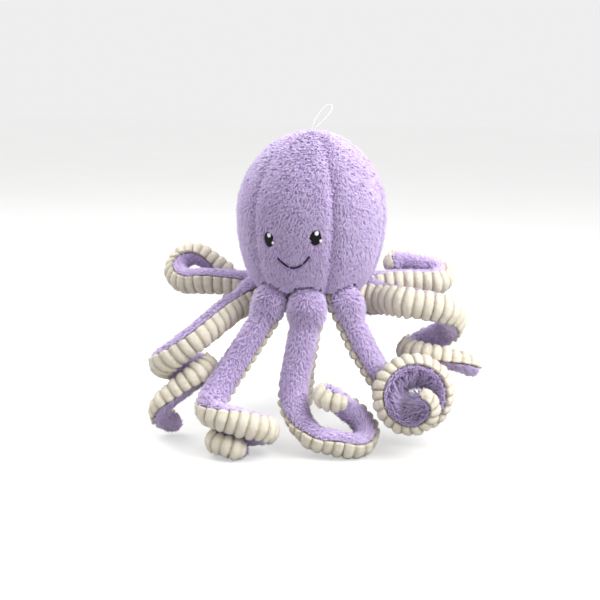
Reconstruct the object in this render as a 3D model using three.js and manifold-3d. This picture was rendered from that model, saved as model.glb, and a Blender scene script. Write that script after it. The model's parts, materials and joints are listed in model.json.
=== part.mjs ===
// A plush octopus: a fur head sewn from gores, and eight stuffed tentacles that curl with their
// fur inside and their ribbed cream underside outside. Millimetres, +Z up. The face looks along -Y.
// The origin is on the floor, under the middle of the toy's outer box.
import * as THREE from 'three';
import { mergeVertices } from 'three/addons/utils/BufferGeometryUtils.js';
import Module from 'manifold-3d';

const wasm = await Module();
wasm.setup();

// Fabric and clearances
const GAP = 0.3;
const FUR_CLOTH = 3;
const RIBBED_CLOTH = 3.5;
const FILL_GAP = 0.5;
const SEAM_GAP = 0.7;
const FLOOR_FLAT = 0.5;
const FLOOR_SIZE = 2000;
const FLOOR_DEPTH = 200;

// The ring of tentacle roots
const TENTACLES = 8;
const ROOT_BALL = 40;
const ROOT_SPACING = 2.9;
const RING_HEIGHT = 164;
const RING_TURN = 13;

// Tentacles: width across the two side seams, thickness from fur to ribs
const NECK_WIDTH = 33;
const FULL_WIDTH = 39;
const TIP_WIDTH = 27;
const ROOT_THICKNESS = 31;
const TIP_THICKNESS = 21;
const NECK_LENGTH = 30;
const TIP_ROUND = 10;
const SEAM_DROP = 10;
const TAPER_POWER = 1.2;

// Head
const HEAD_WIDTH = 169;
const HEAD_SINK = 8;
const CHEEK_HEIGHT = 83;
const CHEEK_DROP = 128;
const CROWN_HEIGHT = 97;
const CROWN_HOLE = 3.2;
const LIFT_LIMIT = 20;
const SLEEVE_LENGTH = 45;
const GORES = 6;
const FACE_GORE = 65;
const SEAM_DIP = 1.8;
const SEAM_REACH = 0.12;
const NARROW_GORE = 40;
const FOOT_ROWS = [0, 0.25, 0.5, 0.75, 1];
const CROWN_ROWS = [0.19, 0.37, 0.54, 0.7, 0.85, 1];
const GORE_COLUMNS = [0, 0.12, 0.37, 0.63, 0.88, 1];
const FILLING_COLUMNS = [0, 0.37, 0.63];

// Face
const EYE_WIDTH = 13.5;
const EYE_HEIGHT = 16.5;
const EYE_THICKNESS = 1.4;
const EYE_SINK = 0.5;
const EYE_ANGLE = 18.7;
const EYE_LEVEL = 63;
const BIG_GLINT = 4.6;
const SMALL_GLINT = 3.2;
const GLINT_THICKNESS = 0.7;
const SMILE_WIDTH = 38;
const SMILE_SAG = 12;
const SMILE_LEVEL = 42;
const SMILE_THREAD = 2;
const FACE_TILT = 5;
const OVAL_CORNERS = 12;
const OVAL_MIDDLE = 0.1;
const OVAL_SHOULDER = 0.8;
const OVAL_WALL = 0.6;
const SMILE_POINTS = 9;
const SMILE_SIDES = 6;
const SMILE_STEPS = 14;

// Hanging loop
const LOOP_CORD = 1.2;
const LOOP_FOOT = 1.5;
const LOOP_SIDES = 8;
const LOOP_STEPS = 30;

// Mesh steps
const STATION_STEP = 34;
const STATION_TURN = 34;
const SOCKET_SIDES = 14;
const COIL_POINTS = 180;
const RUN_POINTS = 40;
const SETTLE_STEPS = 6;
const FUR_CORNERS = 6;
const FUR_INNER_CORNERS = 4;
const RIB_CORNERS = 4;
const RIB_INNER_CORNERS = 3;

// Shares: stations of the root's ball and of the rounded tip, and the most of a thin tip that is cloth
const BALL_STATIONS = [-0.85, -0.5, 0, 0.45];
const FIRST_STATION = 0.75;
const TIP_STATIONS = [0.45, 0.08];
const FUR_SHARE = 0.35;
const RIB_SHARE = 0.4;

const rad = THREE.MathUtils.degToRad;
const vec = (x, y, z) => new THREE.Vector3(x, y, z);
const smooth = (t) => t * t * (3 - 2 * t);
const ballRadius = ROOT_BALL / 2;
const ringRadius = (ROOT_BALL + ROOT_SPACING) / (2 * Math.sin(Math.PI / TENTACLES));
const neckHeight = RING_HEIGHT + ballRadius - HEAD_SINK;

const lavender = new THREE.MeshStandardMaterial({ color: 0xb79be0, roughness: 0.95 });
const cream = new THREE.MeshStandardMaterial({ color: 0xf1e9d6, roughness: 0.9 });
const fibre = new THREE.MeshStandardMaterial({ color: 0xf7f7f5, roughness: 1 });
const blackThread = new THREE.MeshStandardMaterial({ color: 0x17141a, roughness: 0.6 });
const whiteThread = new THREE.MeshStandardMaterial({ color: 0xfafafa, roughness: 0.6 });
const nylon = new THREE.MeshStandardMaterial({ color: 0xf2f2f4, roughness: 0.5 });

// How each tentacle lies. Its middle line leaves the root at a droop below the horizontal and a
// swing to the side, runs to its curl, and coils there with the fur inwards. All places are from
// the root: outwards, sideways and up. The coil is a racetrack of half length and half width that
// shrink from the first pair to the second, while its lean changes and it drifts along its heading,
// across it and up. Turned is the share of the twist that the seams already have at the root, and
// face tips the fur from the coil's middle towards its end.
const poses = [
  {
    name: 'front_left', slot: 7, droop: 62, swing: 0, reach: [45, 50], turned: 0,
    turnOver: [50, 90], centre: [77, 35, -109], stands: true, heading: 138, slope: -4,
    lean: [-8, -22], hand: 1, size: [35, 18, 24, 14], from: -180, sweep: 470, tighten: 1,
    drift: [0, 0, -45], face: [0, 0],
  },
  {
    name: 'front', slot: 0, droop: 80, swing: -6, reach: [60, 62], turned: 0,
    turnOver: [60, 40], centre: [37, 38, -140], stands: true, heading: 93, slope: -26,
    lean: [24, 14], hand: 1, size: [38, 22, 22, 13], from: -150, sweep: 430, tighten: 1,
    drift: [8, -8, 52], face: [34, 0],
  },
  {
    name: 'front_right', slot: 1, droop: 68, swing: 8, reach: [66, 46], turned: 0.5,
    turnOver: [10, -40], centre: [71, 39, -100], stands: false, heading: 48, slope: 0,
    lean: [84, 84], hand: 1, size: [37, 37, 12, 12], from: -30, sweep: 450, tighten: 1.8,
    drift: [0, -62, 0], face: [5, -18],
  },
  {
    name: 'right', slot: 2, droop: 7, swing: 0, reach: [40, 36], turned: 0.8,
    turnOver: [0, 1], centre: [70, -20, -13], stands: false, heading: 3, slope: 8,
    lean: [-28, -20], hand: 1, size: [37, 25, 29, 21], from: -90, sweep: 450, tighten: 1,
    drift: [38, 4, -74], face: [22, -60],
  },
  {
    name: 'back_right', slot: 3, droop: -2, swing: 0, reach: [20, 30], turned: 0.8,
    turnOver: [0, 1], centre: [90, -33, 9], stands: false, heading: -42, slope: -4,
    lean: [8, 20], hand: 1, size: [36, 20, 28, 17], from: -90, sweep: 290, tighten: 1,
    drift: [0, 0, 16], face: [0, 0],
  },
  {
    name: 'back', slot: 4, droop: 70, swing: 10, reach: [50, 40], turned: 0,
    turnOver: [0, 1], centre: [40, 14, -119], stands: true, heading: 3, slope: 0,
    lean: [90, 90], hand: 1, size: [38, 38, 20, 20], from: 180, sweep: 300, tighten: 1.2,
    drift: [0, 0, 0], face: [0, 0],
  },
  {
    name: 'back_left', slot: 5, droop: 8, swing: 0, reach: [20, 30], turned: 0.7,
    turnOver: [0, 1], centre: [100, 36, 17], stands: false, heading: 48, slope: 18,
    lean: [30, 150], hand: -1, size: [42, 32, 30, 18], from: -90, sweep: 310, tighten: 1,
    drift: [-6, 20, -36], face: [-15, 30],
  },
  {
    name: 'left', slot: 6, droop: 25, swing: 0, reach: [50, 40], turned: 0.8,
    turnOver: [0, 1], centre: [80, 47, -50], stands: false, heading: 3, slope: -26,
    lean: [0, -40], hand: -1, size: [34, 19, 24, 16], from: -90, sweep: 530, tighten: 1,
    drift: [12, -13, -88], face: [-40, 53],
  },
];

// A point on a racetrack of half length a and half width b, at a turn in degrees from its right end
function racetrack(a, b, turn) {
  const straight = 2 * (a - b);
  const bend = Math.PI * b;
  const whole = 2 * (straight + bend);
  let s = (((turn / 360) % 1) + 1) % 1 * whole;
  if (s < bend / 2) return [a - b + b * Math.cos(s / b), b * Math.sin(s / b)];
  s -= bend / 2;
  if (s < straight) return [a - b - s, b];
  s -= straight;
  if (s < bend) return [b - a - b * Math.sin(s / b), b * Math.cos(s / b)];
  s -= bend;
  if (s < straight) return [b - a + s, -b];
  s -= straight;
  return [a - b + b * Math.sin(s / b), -b * Math.cos(s / b)];
}

// The middle line of a tentacle, with its tangent and the direction that its fur faces
function middleLine(pose, centreUp) {
  const droop = rad(pose.droop);
  const swing = rad(pose.swing);
  const away = vec(Math.cos(swing), Math.sin(swing), 0);
  const start = away.clone().multiplyScalar(Math.cos(droop)).add(vec(0, 0, -Math.sin(droop)));
  const furStart = away.clone().multiplyScalar(Math.sin(droop)).add(vec(0, 0, Math.cos(droop)));
  const heading = rad(pose.heading);
  const slope = rad(pose.slope);
  const flat = vec(Math.cos(heading), Math.sin(heading), 0);
  const u = flat.clone().multiplyScalar(Math.cos(slope)).add(vec(0, 0, Math.sin(slope)));
  const k = flat.clone().multiplyScalar(-Math.sin(slope)).add(vec(0, 0, Math.cos(slope)));
  const across = k.clone().cross(u).multiplyScalar(pose.hand);
  const sideways = vec(0, 0, 1).cross(flat).multiplyScalar(pose.hand);
  const centre = vec(pose.centre[0], pose.centre[1], centreUp);
  const drift = flat.clone().multiplyScalar(pose.drift[0])
    .addScaledVector(sideways, pose.drift[1]).add(vec(0, 0, pose.drift[2]));
  const coil = [];
  const inward = [];
  for (let i = 0; i < COIL_POINTS; i += 1) {
    const t = i / (COIL_POINTS - 1);
    const shrink = t ** pose.tighten;
    const a = THREE.MathUtils.lerp(pose.size[0], pose.size[2], shrink);
    const b = THREE.MathUtils.lerp(pose.size[1], pose.size[3], shrink);
    const [x, y] = racetrack(a, b, pose.from + pose.sweep * t);
    const lean = rad(THREE.MathUtils.lerp(pose.lean[0], pose.lean[1], t));
    const v = across.clone().multiplyScalar(Math.cos(lean)).addScaledVector(k, Math.sin(lean));
    const face = rad(THREE.MathUtils.lerp(pose.face[0], pose.face[1], t));
    const axle = u.clone().cross(v).multiplyScalar(Math.tan(face));
    const hub = centre.clone().addScaledVector(drift, t);
    const point = hub.clone().addScaledVector(u, x).addScaledVector(v, y);
    const reachIn = Math.max(a - b, 0);
    const nearest = THREE.MathUtils.clamp(x, -reachIn, reachIn);
    coil.push(point);
    const towards = hub.addScaledVector(u, nearest).sub(point).normalize();
    inward.push(towards.add(axle));
  }
  const coilStart = coil[1].clone().sub(coil[0]).normalize();
  const run = new THREE.CubicBezierCurve3(
    vec(0, 0, 0),
    start.clone().multiplyScalar(pose.reach[0]),
    coil[0].clone().addScaledVector(coilStart, -pose.reach[1]),
    coil[0],
  ).getPoints(RUN_POINTS);
  run.pop();
  const points = [...run, ...coil];
  const last = points.length - 1;
  const tangents = points.map((p, i) => points[Math.min(i + 1, last)].clone()
    .sub(points[Math.max(i - 1, 0)]).normalize());
  tangents[0].copy(start);
  const lengths = [0];
  for (let i = 1; i <= last; i += 1) lengths.push(lengths[i - 1] + points[i].distanceTo(points[i - 1]));
  const square = (w, t) => w.clone().addScaledVector(t, -w.dot(t)).normalize();
  const fur = [square(furStart, tangents[0])];
  for (let i = 1; i <= last; i += 1) fur.push(square(fur[i - 1], tangents[i]));
  const twists = [];
  for (let i = RUN_POINTS; i <= last; i += 1) {
    const want = square(inward[i - RUN_POINTS], tangents[i]);
    const sine = fur[i].clone().cross(want).dot(tangents[i]);
    let angle = Math.atan2(sine, fur[i].dot(want));
    if (i > RUN_POINTS) {
      const step = angle - twists[i - RUN_POINTS - 1];
      angle -= 2 * Math.PI * Math.round(step / (2 * Math.PI));
    }
    twists.push(angle);
  }
  const twistFrom = pose.turnOver[0];
  const twistTo = lengths[RUN_POINTS] + pose.turnOver[1];
  fur.forEach((w, i) => {
    const part = THREE.MathUtils.clamp((lengths[i] - twistFrom) / (twistTo - twistFrom), 0, 1);
    const share = THREE.MathUtils.lerp(pose.turned, 1, smooth(part));
    w.applyAxisAngle(tangents[i], twists[Math.max(i - RUN_POINTS, 0)] * share);
  });
  return { points, tangents, fur, lengths, length: lengths[last] };
}

// Stations along the line: closer together where it bends
function stationsOf(line) {
  const load = [0];
  for (let i = 1; i < line.points.length; i += 1) {
    const bend = line.tangents[i].angleTo(line.tangents[i - 1]);
    const step = line.lengths[i] - line.lengths[i - 1];
    load.push(load[i - 1] + step / STATION_STEP + bend / rad(STATION_TURN));
  }
  const count = Math.ceil(load[load.length - 1]);
  const stations = BALL_STATIONS.map((share) => {
    const s = share * ballRadius;
    return { s, at: line.tangents[0].clone().multiplyScalar(s), along: line.tangents[0], fur: line.fur[0] };
  });
  let i = 0;
  for (let n = 1; n <= count; n += 1) {
    const target = n / count * load[load.length - 1];
    while (i < load.length - 1 && load[i] < target) i += 1;
    const s = line.lengths[i];
    if (s >= ballRadius * FIRST_STATION && s < line.length - TIP_ROUND) {
      stations.push({ s, at: line.points[i], along: line.tangents[i], fur: line.fur[i] });
    }
  }
  TIP_STATIONS.forEach((share) => {
    const s = line.length - TIP_ROUND * share;
    const n = line.lengths.findIndex((length) => length >= s);
    stations.push({ s, at: line.points[n], along: line.tangents[n], fur: line.fur[n] });
  });
  return stations;
}

// Half width and half thickness at a distance along the tentacle
function halfSizes(s, length) {
  const ball = Math.sqrt(Math.max(ballRadius ** 2 - s * s, 0));
  if (s < 0) return [ball, ball];
  const taper = THREE.MathUtils.clamp((s - NECK_LENGTH) / (length - NECK_LENGTH), 0, 1);
  const swell = smooth(THREE.MathUtils.clamp(s / NECK_LENGTH, 0, 1));
  const full = THREE.MathUtils.lerp(NECK_WIDTH, FULL_WIDTH, swell);
  const width = THREE.MathUtils.lerp(full, TIP_WIDTH, taper ** TAPER_POWER);
  const thickness = THREE.MathUtils.lerp(ROOT_THICKNESS, TIP_THICKNESS, Math.max(s, 0) / length);
  const left = THREE.MathUtils.clamp((length - s) / TIP_ROUND, 0, 1);
  const round = Math.sqrt(1 - (1 - left) ** 2);
  return [Math.max(ball, width / 2 * round), Math.max(ball, thickness / 2 * round)];
}

// A closed solid from rings that all have the same number of corners, in order
function loft(rings) {
  const around = rings[0].length;
  const corners = rings.flat();
  const positions = corners.flatMap((p) => [p.x, p.y, p.z]);
  const index = [];
  for (let i = 0; i < rings.length - 1; i += 1) {
    for (let j = 0; j < around; j += 1) {
      const a = i * around + j;
      const b = i * around + (j + 1) % around;
      const c = b + around;
      const d = a + around;
      const rising = corners[a].distanceToSquared(corners[c]) < corners[b].distanceToSquared(corners[d]);
      if (rising) index.push(a, b, c, a, c, d);
      else index.push(a, b, d, b, c, d);
    }
  }
  const cap = (ring, offset, flip) => {
    const origin = ring[0];
    const normal = vec(0, 0, 0);
    ring.forEach((p, j) => {
      const q = ring[(j + 1) % ring.length];
      normal.add(p.clone().sub(origin).cross(q.clone().sub(origin)));
    });
    normal.normalize();
    const x = ring[1].clone().sub(origin).normalize();
    const y = normal.clone().cross(x);
    const flatRing = ring.map((p) => {
      const d = p.clone().sub(origin);
      return new THREE.Vector2(d.dot(x), d.dot(y));
    });
    THREE.ShapeUtils.triangulateShape(flatRing, []).forEach(([a, b, c]) => {
      if (flip) index.push(offset + a, offset + c, offset + b);
      else index.push(offset + a, offset + b, offset + c);
    });
  };
  cap(rings[0], 0, true);
  cap(rings[rings.length - 1], (rings.length - 1) * around, false);
  const geometry = new THREE.BufferGeometry();
  geometry.setAttribute('position', new THREE.Float32BufferAttribute(positions, 3));
  geometry.setIndex(index);
  return outward(geometry);
}

// Turns a closed geometry's faces outwards if they point in
function outward(geometry) {
  const p = geometry.getAttribute('position');
  const index = geometry.getIndex().array;
  let volume = 0;
  for (let i = 0; i < index.length; i += 3) {
    const [a, b, c] = [0, 1, 2].map((n) => vec(0, 0, 0).fromBufferAttribute(p, index[i + n]));
    volume += a.dot(b.cross(c));
  }
  if (volume < 0) {
    for (let i = 0; i < index.length; i += 3) {
      [index[i], index[i + 1]] = [index[i + 1], index[i]];
    }
  }
  return geometry;
}

function toSolid(geometry) {
  const bare = geometry.clone();
  bare.deleteAttribute('normal');
  bare.deleteAttribute('uv');
  const merged = mergeVertices(bare, 1e-5);
  return new wasm.Manifold(new wasm.Mesh({
    numProp: 3,
    vertProperties: new Float32Array(merged.getAttribute('position').array),
    triVerts: new Uint32Array(merged.getIndex().array),
  }));
}

function toGeometry(solid) {
  const mesh = solid.getMesh();
  const geometry = new THREE.BufferGeometry();
  geometry.setAttribute('position', new THREE.Float32BufferAttribute(mesh.vertProperties, 3));
  geometry.setIndex(Array.from(mesh.triVerts));
  return geometry;
}

function cut(geometry, cutters) {
  return toGeometry(cutters.reduce((solid, cutter) => solid.subtract(cutter), toSolid(geometry)));
}

// The three pieces of a tentacle, in the root's own frame: outwards, sideways, up
function tentaclePieces(pose) {
  const spread = (from, to, count) => Array.from(
    { length: count },
    (_, n) => from + n / (count - 1) * (to - from),
  );
  const furSeams = [-SEAM_DROP, 180 + SEAM_DROP];
  const ribSeams = [180 + SEAM_DROP, 360 - SEAM_DROP];
  const furOuter = spread(...furSeams, FUR_CORNERS);
  const furInner = spread(...furSeams, FUR_INNER_CORNERS);
  const ribOuter = spread(...ribSeams, RIB_CORNERS);
  const ribInner = spread(...ribSeams, RIB_INNER_CORNERS);
  const build = (centreUp) => {
    const line = middleLine(pose, centreUp);
    const rings = { fur: [], ribs: [], fill: [] };
    stationsOf(line).forEach(({ s, at, along, fur }) => {
      const [halfWidth, halfThickness] = halfSizes(s, line.length);
      const side = along.clone().cross(fur);
      const corner = (angle, inset, shift) => at.clone()
        .addScaledVector(side, (halfWidth - inset) * Math.cos(rad(angle)))
        .addScaledVector(fur, (halfThickness - inset) * Math.sin(rad(angle)) + shift * SEAM_GAP / 2);
      const wall = Math.min(FUR_CLOTH, halfThickness * FUR_SHARE);
      const ribWall = Math.min(RIBBED_CLOTH, halfThickness * RIB_SHARE);
      rings.fur.push([
        ...furOuter.map((angle) => corner(angle, 0, 1)),
        ...furInner.map((angle) => corner(angle, wall, 1)).reverse(),
      ]);
      rings.ribs.push([
        ...ribOuter.map((angle) => corner(angle, 0, -1)),
        ...ribInner.map((angle) => corner(angle, ribWall, -1)).reverse(),
      ]);
      rings.fill.push([
        ...furInner.slice(1, -1).map((angle) => corner(angle, wall + FILL_GAP, 0)),
        ...ribInner.map((angle) => corner(angle, ribWall + FILL_GAP, 0)),
      ]);
    });
    return rings;
  };
  const lowest = (rings) => Math.min(...[...rings.fur, ...rings.ribs].flat().map((p) => p.z));
  let up = pose.centre[2];
  if (pose.stands) {
    for (let n = 0; n < SETTLE_STEPS; n += 1) up -= RING_HEIGHT + FLOOR_FLAT + lowest(build(up));
  }
  const rings = build(up);
  return { fur: loft(rings.fur), ribs: loft(rings.ribs), fill: loft(rings.fill.slice(0, -1)) };
}

// Head: radius at a height above the neck line, and a point of its surface
function headRadius(z) {
  const half = HEAD_WIDTH / 2;
  if (z < CHEEK_HEIGHT) return half * Math.sqrt(1 - ((CHEEK_HEIGHT - z) / CHEEK_DROP) ** 2);
  return half * Math.sqrt(Math.max(1 - ((z - CHEEK_HEIGHT) / CROWN_HEIGHT) ** 2, 0));
}

// A point of the head at an azimuth from the face and a height above the neck line, moved inwards
function headPoint(azimuth, z, inset, dip = 0) {
  const step = 0.5;
  const slope = (headRadius(z + step) - headRadius(z - step)) / (2 * step);
  const scale = inset / Math.hypot(1, slope);
  const r = headRadius(z) - scale - dip;
  const a = rad(azimuth);
  return vec(r * Math.sin(a), -r * Math.cos(a), z + scale * slope);
}

// Heights of the rows of a gore, from the neck to the hole at the crown
const crownEdge = Math.acos(CROWN_HOLE / (HEAD_WIDTH / 2));
const rows = [
  ...FOOT_ROWS.map((t) => CHEEK_HEIGHT * t),
  ...CROWN_ROWS.map((t) => CHEEK_HEIGHT + CROWN_HEIGHT * Math.sin(crownEdge * t)),
];

// The seams' azimuths: the face's gore is centred on the face, and the others share the rest
const plainGore = (360 - FACE_GORE) / (GORES - 1);
const goreSpans = [
  'face_gore', 'right_front_gore', 'right_back_gore', 'back_gore', 'left_back_gore', 'left_front_gore',
].map((name, n) => ({
  name,
  start: n === 0 ? -FACE_GORE / 2 : FACE_GORE / 2 + (n - 1) * plainGore,
  width: n === 0 ? FACE_GORE : plainGore,
}));

// The corners of one gore's row, with half a gap left at each seam
function goreRow(span, z, inset, depth = 0, marks = GORE_COLUMNS) {
  const r = Math.max(headRadius(z) - inset, 1);
  const trim = THREE.MathUtils.radToDeg(GAP * 0.6 / r);
  return marks.map((t) => {
    const azimuth = span.start + trim + (span.width - 2 * trim) * t;
    const near = Math.exp(-((Math.min(t, 1 - t) / SEAM_REACH) ** 2));
    const dip = SEAM_DIP * near * Math.min(r / NARROW_GORE, 1);
    return headPoint(azimuth, z, inset + depth, dip);
  });
}

function goreGeometry(span) {
  return loft(rows.map((z) => [...goreRow(span, z, 0), ...goreRow(span, z, FUR_CLOTH).reverse()]));
}

function headFillGeometry() {
  const inset = FUR_CLOTH + GAP * 1.5;
  const levels = rows.map((z, n) => (n === 0 ? FUR_CLOTH + 2 * GAP : z));
  return loft(levels.map((z) => goreSpans.flatMap(
    (span) => goreRow(span, z, FUR_CLOTH, inset - FUR_CLOTH, FILLING_COLUMNS),
  )));
}

function basePanelGeometry() {
  const inset = FUR_CLOTH + GAP * 2;
  const outline = goreSpans.flatMap((span) => goreRow(span, 0, inset, 0, FILLING_COLUMNS));
  return loft([0, FUR_CLOTH].map((z) => outline.map((p) => vec(p.x, p.y, z))));
}

// A thin oval that lies on the head: centre azimuth and level, half width, half height, lift, depth
function patchGeometry(azimuth, level, halfWidth, halfHeight, lift, depth) {
  const tilt = rad(FACE_TILT);
  const place = (scale, turn, out) => {
    const x = halfWidth * scale * Math.cos(turn);
    const y = halfHeight * scale * Math.sin(turn);
    const across = x * Math.cos(tilt) - y * Math.sin(tilt);
    const up = x * Math.sin(tilt) + y * Math.cos(tilt);
    const r = headRadius(level);
    return headPoint(azimuth + THREE.MathUtils.radToDeg(across / r), level + up, -out);
  };
  const ring = (scale, out) => Array.from(
    { length: OVAL_CORNERS },
    (_, n) => place(scale, n / OVAL_CORNERS * 2 * Math.PI, out),
  );
  return loft([
    ring(OVAL_MIDDLE, lift),
    ring(1, lift),
    ring(1, lift + depth * OVAL_WALL),
    ring(OVAL_SHOULDER, lift + depth),
    ring(OVAL_MIDDLE, lift + depth),
  ]);
}

// Where a point of the face goes, once the face is tilted about its middle
function facePlace(across, up) {
  const tilt = rad(FACE_TILT);
  const turned = across * Math.cos(tilt) - up * Math.sin(tilt);
  const raised = across * Math.sin(tilt) + up * Math.cos(tilt);
  const r = headRadius(EYE_LEVEL);
  return [THREE.MathUtils.radToDeg(turned / r), EYE_LEVEL + raised];
}

// A round tube along a curve
function tubeGeometry(curve, radius, sides, steps) {
  const section = new THREE.Shape(Array.from({ length: sides }, (_, n) => {
    const a = n / sides * 2 * Math.PI;
    return new THREE.Vector2(radius * Math.cos(a), radius * Math.sin(a));
  }));
  return new THREE.ExtrudeGeometry(section, { steps, bevelEnabled: false, extrudePath: curve });
}

function smileCurve(lift) {
  const points = Array.from({ length: SMILE_POINTS }, (_, n) => {
    const t = n / (SMILE_POINTS - 1) * 2 - 1;
    const sag = SMILE_SAG * (1 - t * t);
    const [azimuth, z] = facePlace(t * SMILE_WIDTH / 2, SMILE_LEVEL - EYE_LEVEL - sag);
    return headPoint(azimuth, z, -lift);
  });
  return new THREE.CatmullRomCurve3(points);
}

// The loop's route: up from one side of the crown's hole, leaning right, and back down beside it
function loopCurve() {
  const foot = CHEEK_HEIGHT + CROWN_HEIGHT - FUR_CLOTH + GAP * 2;
  const route = [
    [-LOOP_FOOT, 0, 0], [-LOOP_FOOT, 0, 4], [0, 0, 9], [3.5, 1, 16], [9, 2, 24.5], [14, 3, 29],
    [18.4, 4, 30.6], [20.4, 4.6, 28.6], [19.6, 4.4, 24.5], [16, 3.4, 18.5], [10.6, 2.2, 12],
    [5.6, 1, 7], [LOOP_FOOT + 0.7, 0.2, 3.4], [LOOP_FOOT, 0, 0],
  ];
  return new THREE.CatmullRomCurve3(route.map(([x, y, z]) => vec(x, y, foot + z)));
}

const toy = new THREE.Group();

function addMesh(parent, name, geometry, material) {
  const mesh = new THREE.Mesh(geometry, material);
  mesh.name = name;
  parent.add(mesh);
  return mesh;
}

// The tentacles, each in a group at its root
const rootSpots = poses.map((pose) => {
  const azimuth = rad(RING_TURN + pose.slot * 360 / TENTACLES);
  return { azimuth, at: vec(ringRadius * Math.sin(azimuth), -ringRadius * Math.cos(azimuth), RING_HEIGHT) };
});
const floorBlock = toSolid(new THREE.BoxGeometry(FLOOR_SIZE, FLOOR_SIZE, FLOOR_DEPTH)
  .translate(0, 0, -RING_HEIGHT - FLOOR_DEPTH / 2));
poses.forEach((pose, n) => {
  const group = new THREE.Group();
  group.position.copy(rootSpots[n].at);
  group.rotation.z = rootSpots[n].azimuth - Math.PI / 2;
  const pieces = tentaclePieces(pose);
  const trim = (geometry) => (pose.stands ? cut(geometry, [floorBlock]) : geometry);
  addMesh(group, `${pose.name}_fur_strip`, trim(pieces.fur), lavender);
  addMesh(group, `${pose.name}_ribbed_strip`, trim(pieces.ribs), cream);
  addMesh(group, `${pose.name}_filling`, trim(pieces.fill), fibre);
  toy.add(group);
});

// The head, in a group at its neck line; the roots' balls sit in sockets in its underside
const head = new THREE.Group();
head.position.z = neckHeight;
toy.add(head);
const socketRadius = (ballRadius + GAP) / Math.cos(Math.PI / SOCKET_SIDES) ** 2;
const sleeveRadius = (FULL_WIDTH / 2 + GAP) / Math.cos(Math.PI / SOCKET_SIDES);
const sockets = rootSpots.flatMap(({ at, azimuth }) => {
  const ball = new THREE.SphereGeometry(socketRadius, SOCKET_SIDES, SOCKET_SIDES);
  const sleeve = new THREE.CylinderGeometry(sleeveRadius, sleeveRadius, SLEEVE_LENGTH, SOCKET_SIDES)
    .translate(0, -SLEEVE_LENGTH / 2, 0).rotateX(-rad(LIFT_LIMIT)).rotateZ(azimuth);
  return [ball, sleeve].map((geometry) => toSolid(geometry.translate(at.x, at.y, at.z - neckHeight)));
});
goreSpans.forEach((span) => {
  addMesh(head, `head_${span.name}`, cut(goreGeometry(span), sockets), lavender);
});
addMesh(head, 'head_filling', cut(headFillGeometry(), sockets), fibre);
addMesh(head, 'base_panel', cut(basePanelGeometry(), sockets), lavender);

// The face: each eye is an embroidered oval with a large and a small white glint on it
const eyeReach = rad(EYE_ANGLE) * headRadius(EYE_LEVEL);
const glints = [
  { label: 'large_glint', across: 0.12, up: 0.3, size: BIG_GLINT },
  { label: 'small_glint', across: 0.42, up: -0.22, size: SMALL_GLINT },
];
[['right', -1], ['left', 1]].forEach(([label, sign]) => {
  const [azimuth, level] = facePlace(sign * eyeReach, 0);
  const oval = patchGeometry(azimuth, level, EYE_WIDTH / 2, EYE_HEIGHT / 2, -EYE_SINK, EYE_THICKNESS);
  addMesh(head, `${label}_eye`, oval, blackThread);
  glints.forEach((glint) => {
    const [glintAzimuth, glintLevel] = facePlace(
      sign * eyeReach + glint.across * EYE_WIDTH,
      glint.up * EYE_HEIGHT,
    );
    const half = glint.size / 2;
    const lift = EYE_THICKNESS - EYE_SINK + GAP;
    const shape = patchGeometry(glintAzimuth, glintLevel, half, half, lift, GLINT_THICKNESS);
    addMesh(head, `${label}_eye_${glint.label}`, shape, whiteThread);
  });
});
const smileRadius = SMILE_THREAD / 2;
const smileTube = tubeGeometry(smileCurve(smileRadius + GAP), smileRadius, SMILE_SIDES, SMILE_STEPS);
addMesh(head, 'smile', smileTube, blackThread);
addMesh(head, 'hang_loop', tubeGeometry(loopCurve(), LOOP_CORD / 2, LOOP_SIDES, LOOP_STEPS), nylon);

// Centres the toy's outer box on the origin
toy.updateMatrixWorld(true);
const middle = new THREE.Box3().setFromObject(toy, true).getCenter(vec(0, 0, 0));
toy.children.forEach((group) => {
  group.position.x -= middle.x;
  group.position.y -= middle.y;
});

export default toy;
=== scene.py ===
# %% [markdown]
# # A plush octopus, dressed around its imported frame
#
# The toy is a stuffed octopus: an egg-shaped head sewn from six gores of faux-rabbit fur, and eight
# tentacles, each made of a fur strip and a wide-ribbed cream strip sewn together at two side seams.
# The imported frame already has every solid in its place. Here each soft solid gets its real surface:
# fur with a pile, velour with ribs, satin-stitched eyes, a twisted hanging cord.

# %% Imports and the frame
import math
import json
import bpy
import numpy as np
from mathutils import Matrix, Vector
from mathutils.kdtree import KDTree


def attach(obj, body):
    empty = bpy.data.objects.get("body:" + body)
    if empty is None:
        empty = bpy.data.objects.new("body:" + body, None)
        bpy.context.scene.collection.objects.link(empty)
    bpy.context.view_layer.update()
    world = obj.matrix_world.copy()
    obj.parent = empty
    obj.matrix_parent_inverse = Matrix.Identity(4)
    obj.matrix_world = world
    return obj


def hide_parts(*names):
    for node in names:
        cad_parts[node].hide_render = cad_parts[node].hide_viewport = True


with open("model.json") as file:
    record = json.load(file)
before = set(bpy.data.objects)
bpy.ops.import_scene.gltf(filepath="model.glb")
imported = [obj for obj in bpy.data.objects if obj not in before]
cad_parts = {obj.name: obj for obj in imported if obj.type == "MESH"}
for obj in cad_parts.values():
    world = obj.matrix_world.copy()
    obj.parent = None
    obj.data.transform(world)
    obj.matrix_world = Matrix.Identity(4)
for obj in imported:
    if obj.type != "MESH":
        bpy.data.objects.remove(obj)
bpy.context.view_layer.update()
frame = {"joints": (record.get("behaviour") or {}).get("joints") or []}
scene = bpy.context.scene

# %% [markdown]
# ## Units and the toy's own axis
#
# Sewing patterns are drawn in millimetres, so every size below is in millimetres, and one helper
# turns a finished mesh into metres. The roots of the tentacles are the frame's hinges. Their middle
# is the toy's axis, which everything on the head is placed from.

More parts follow.
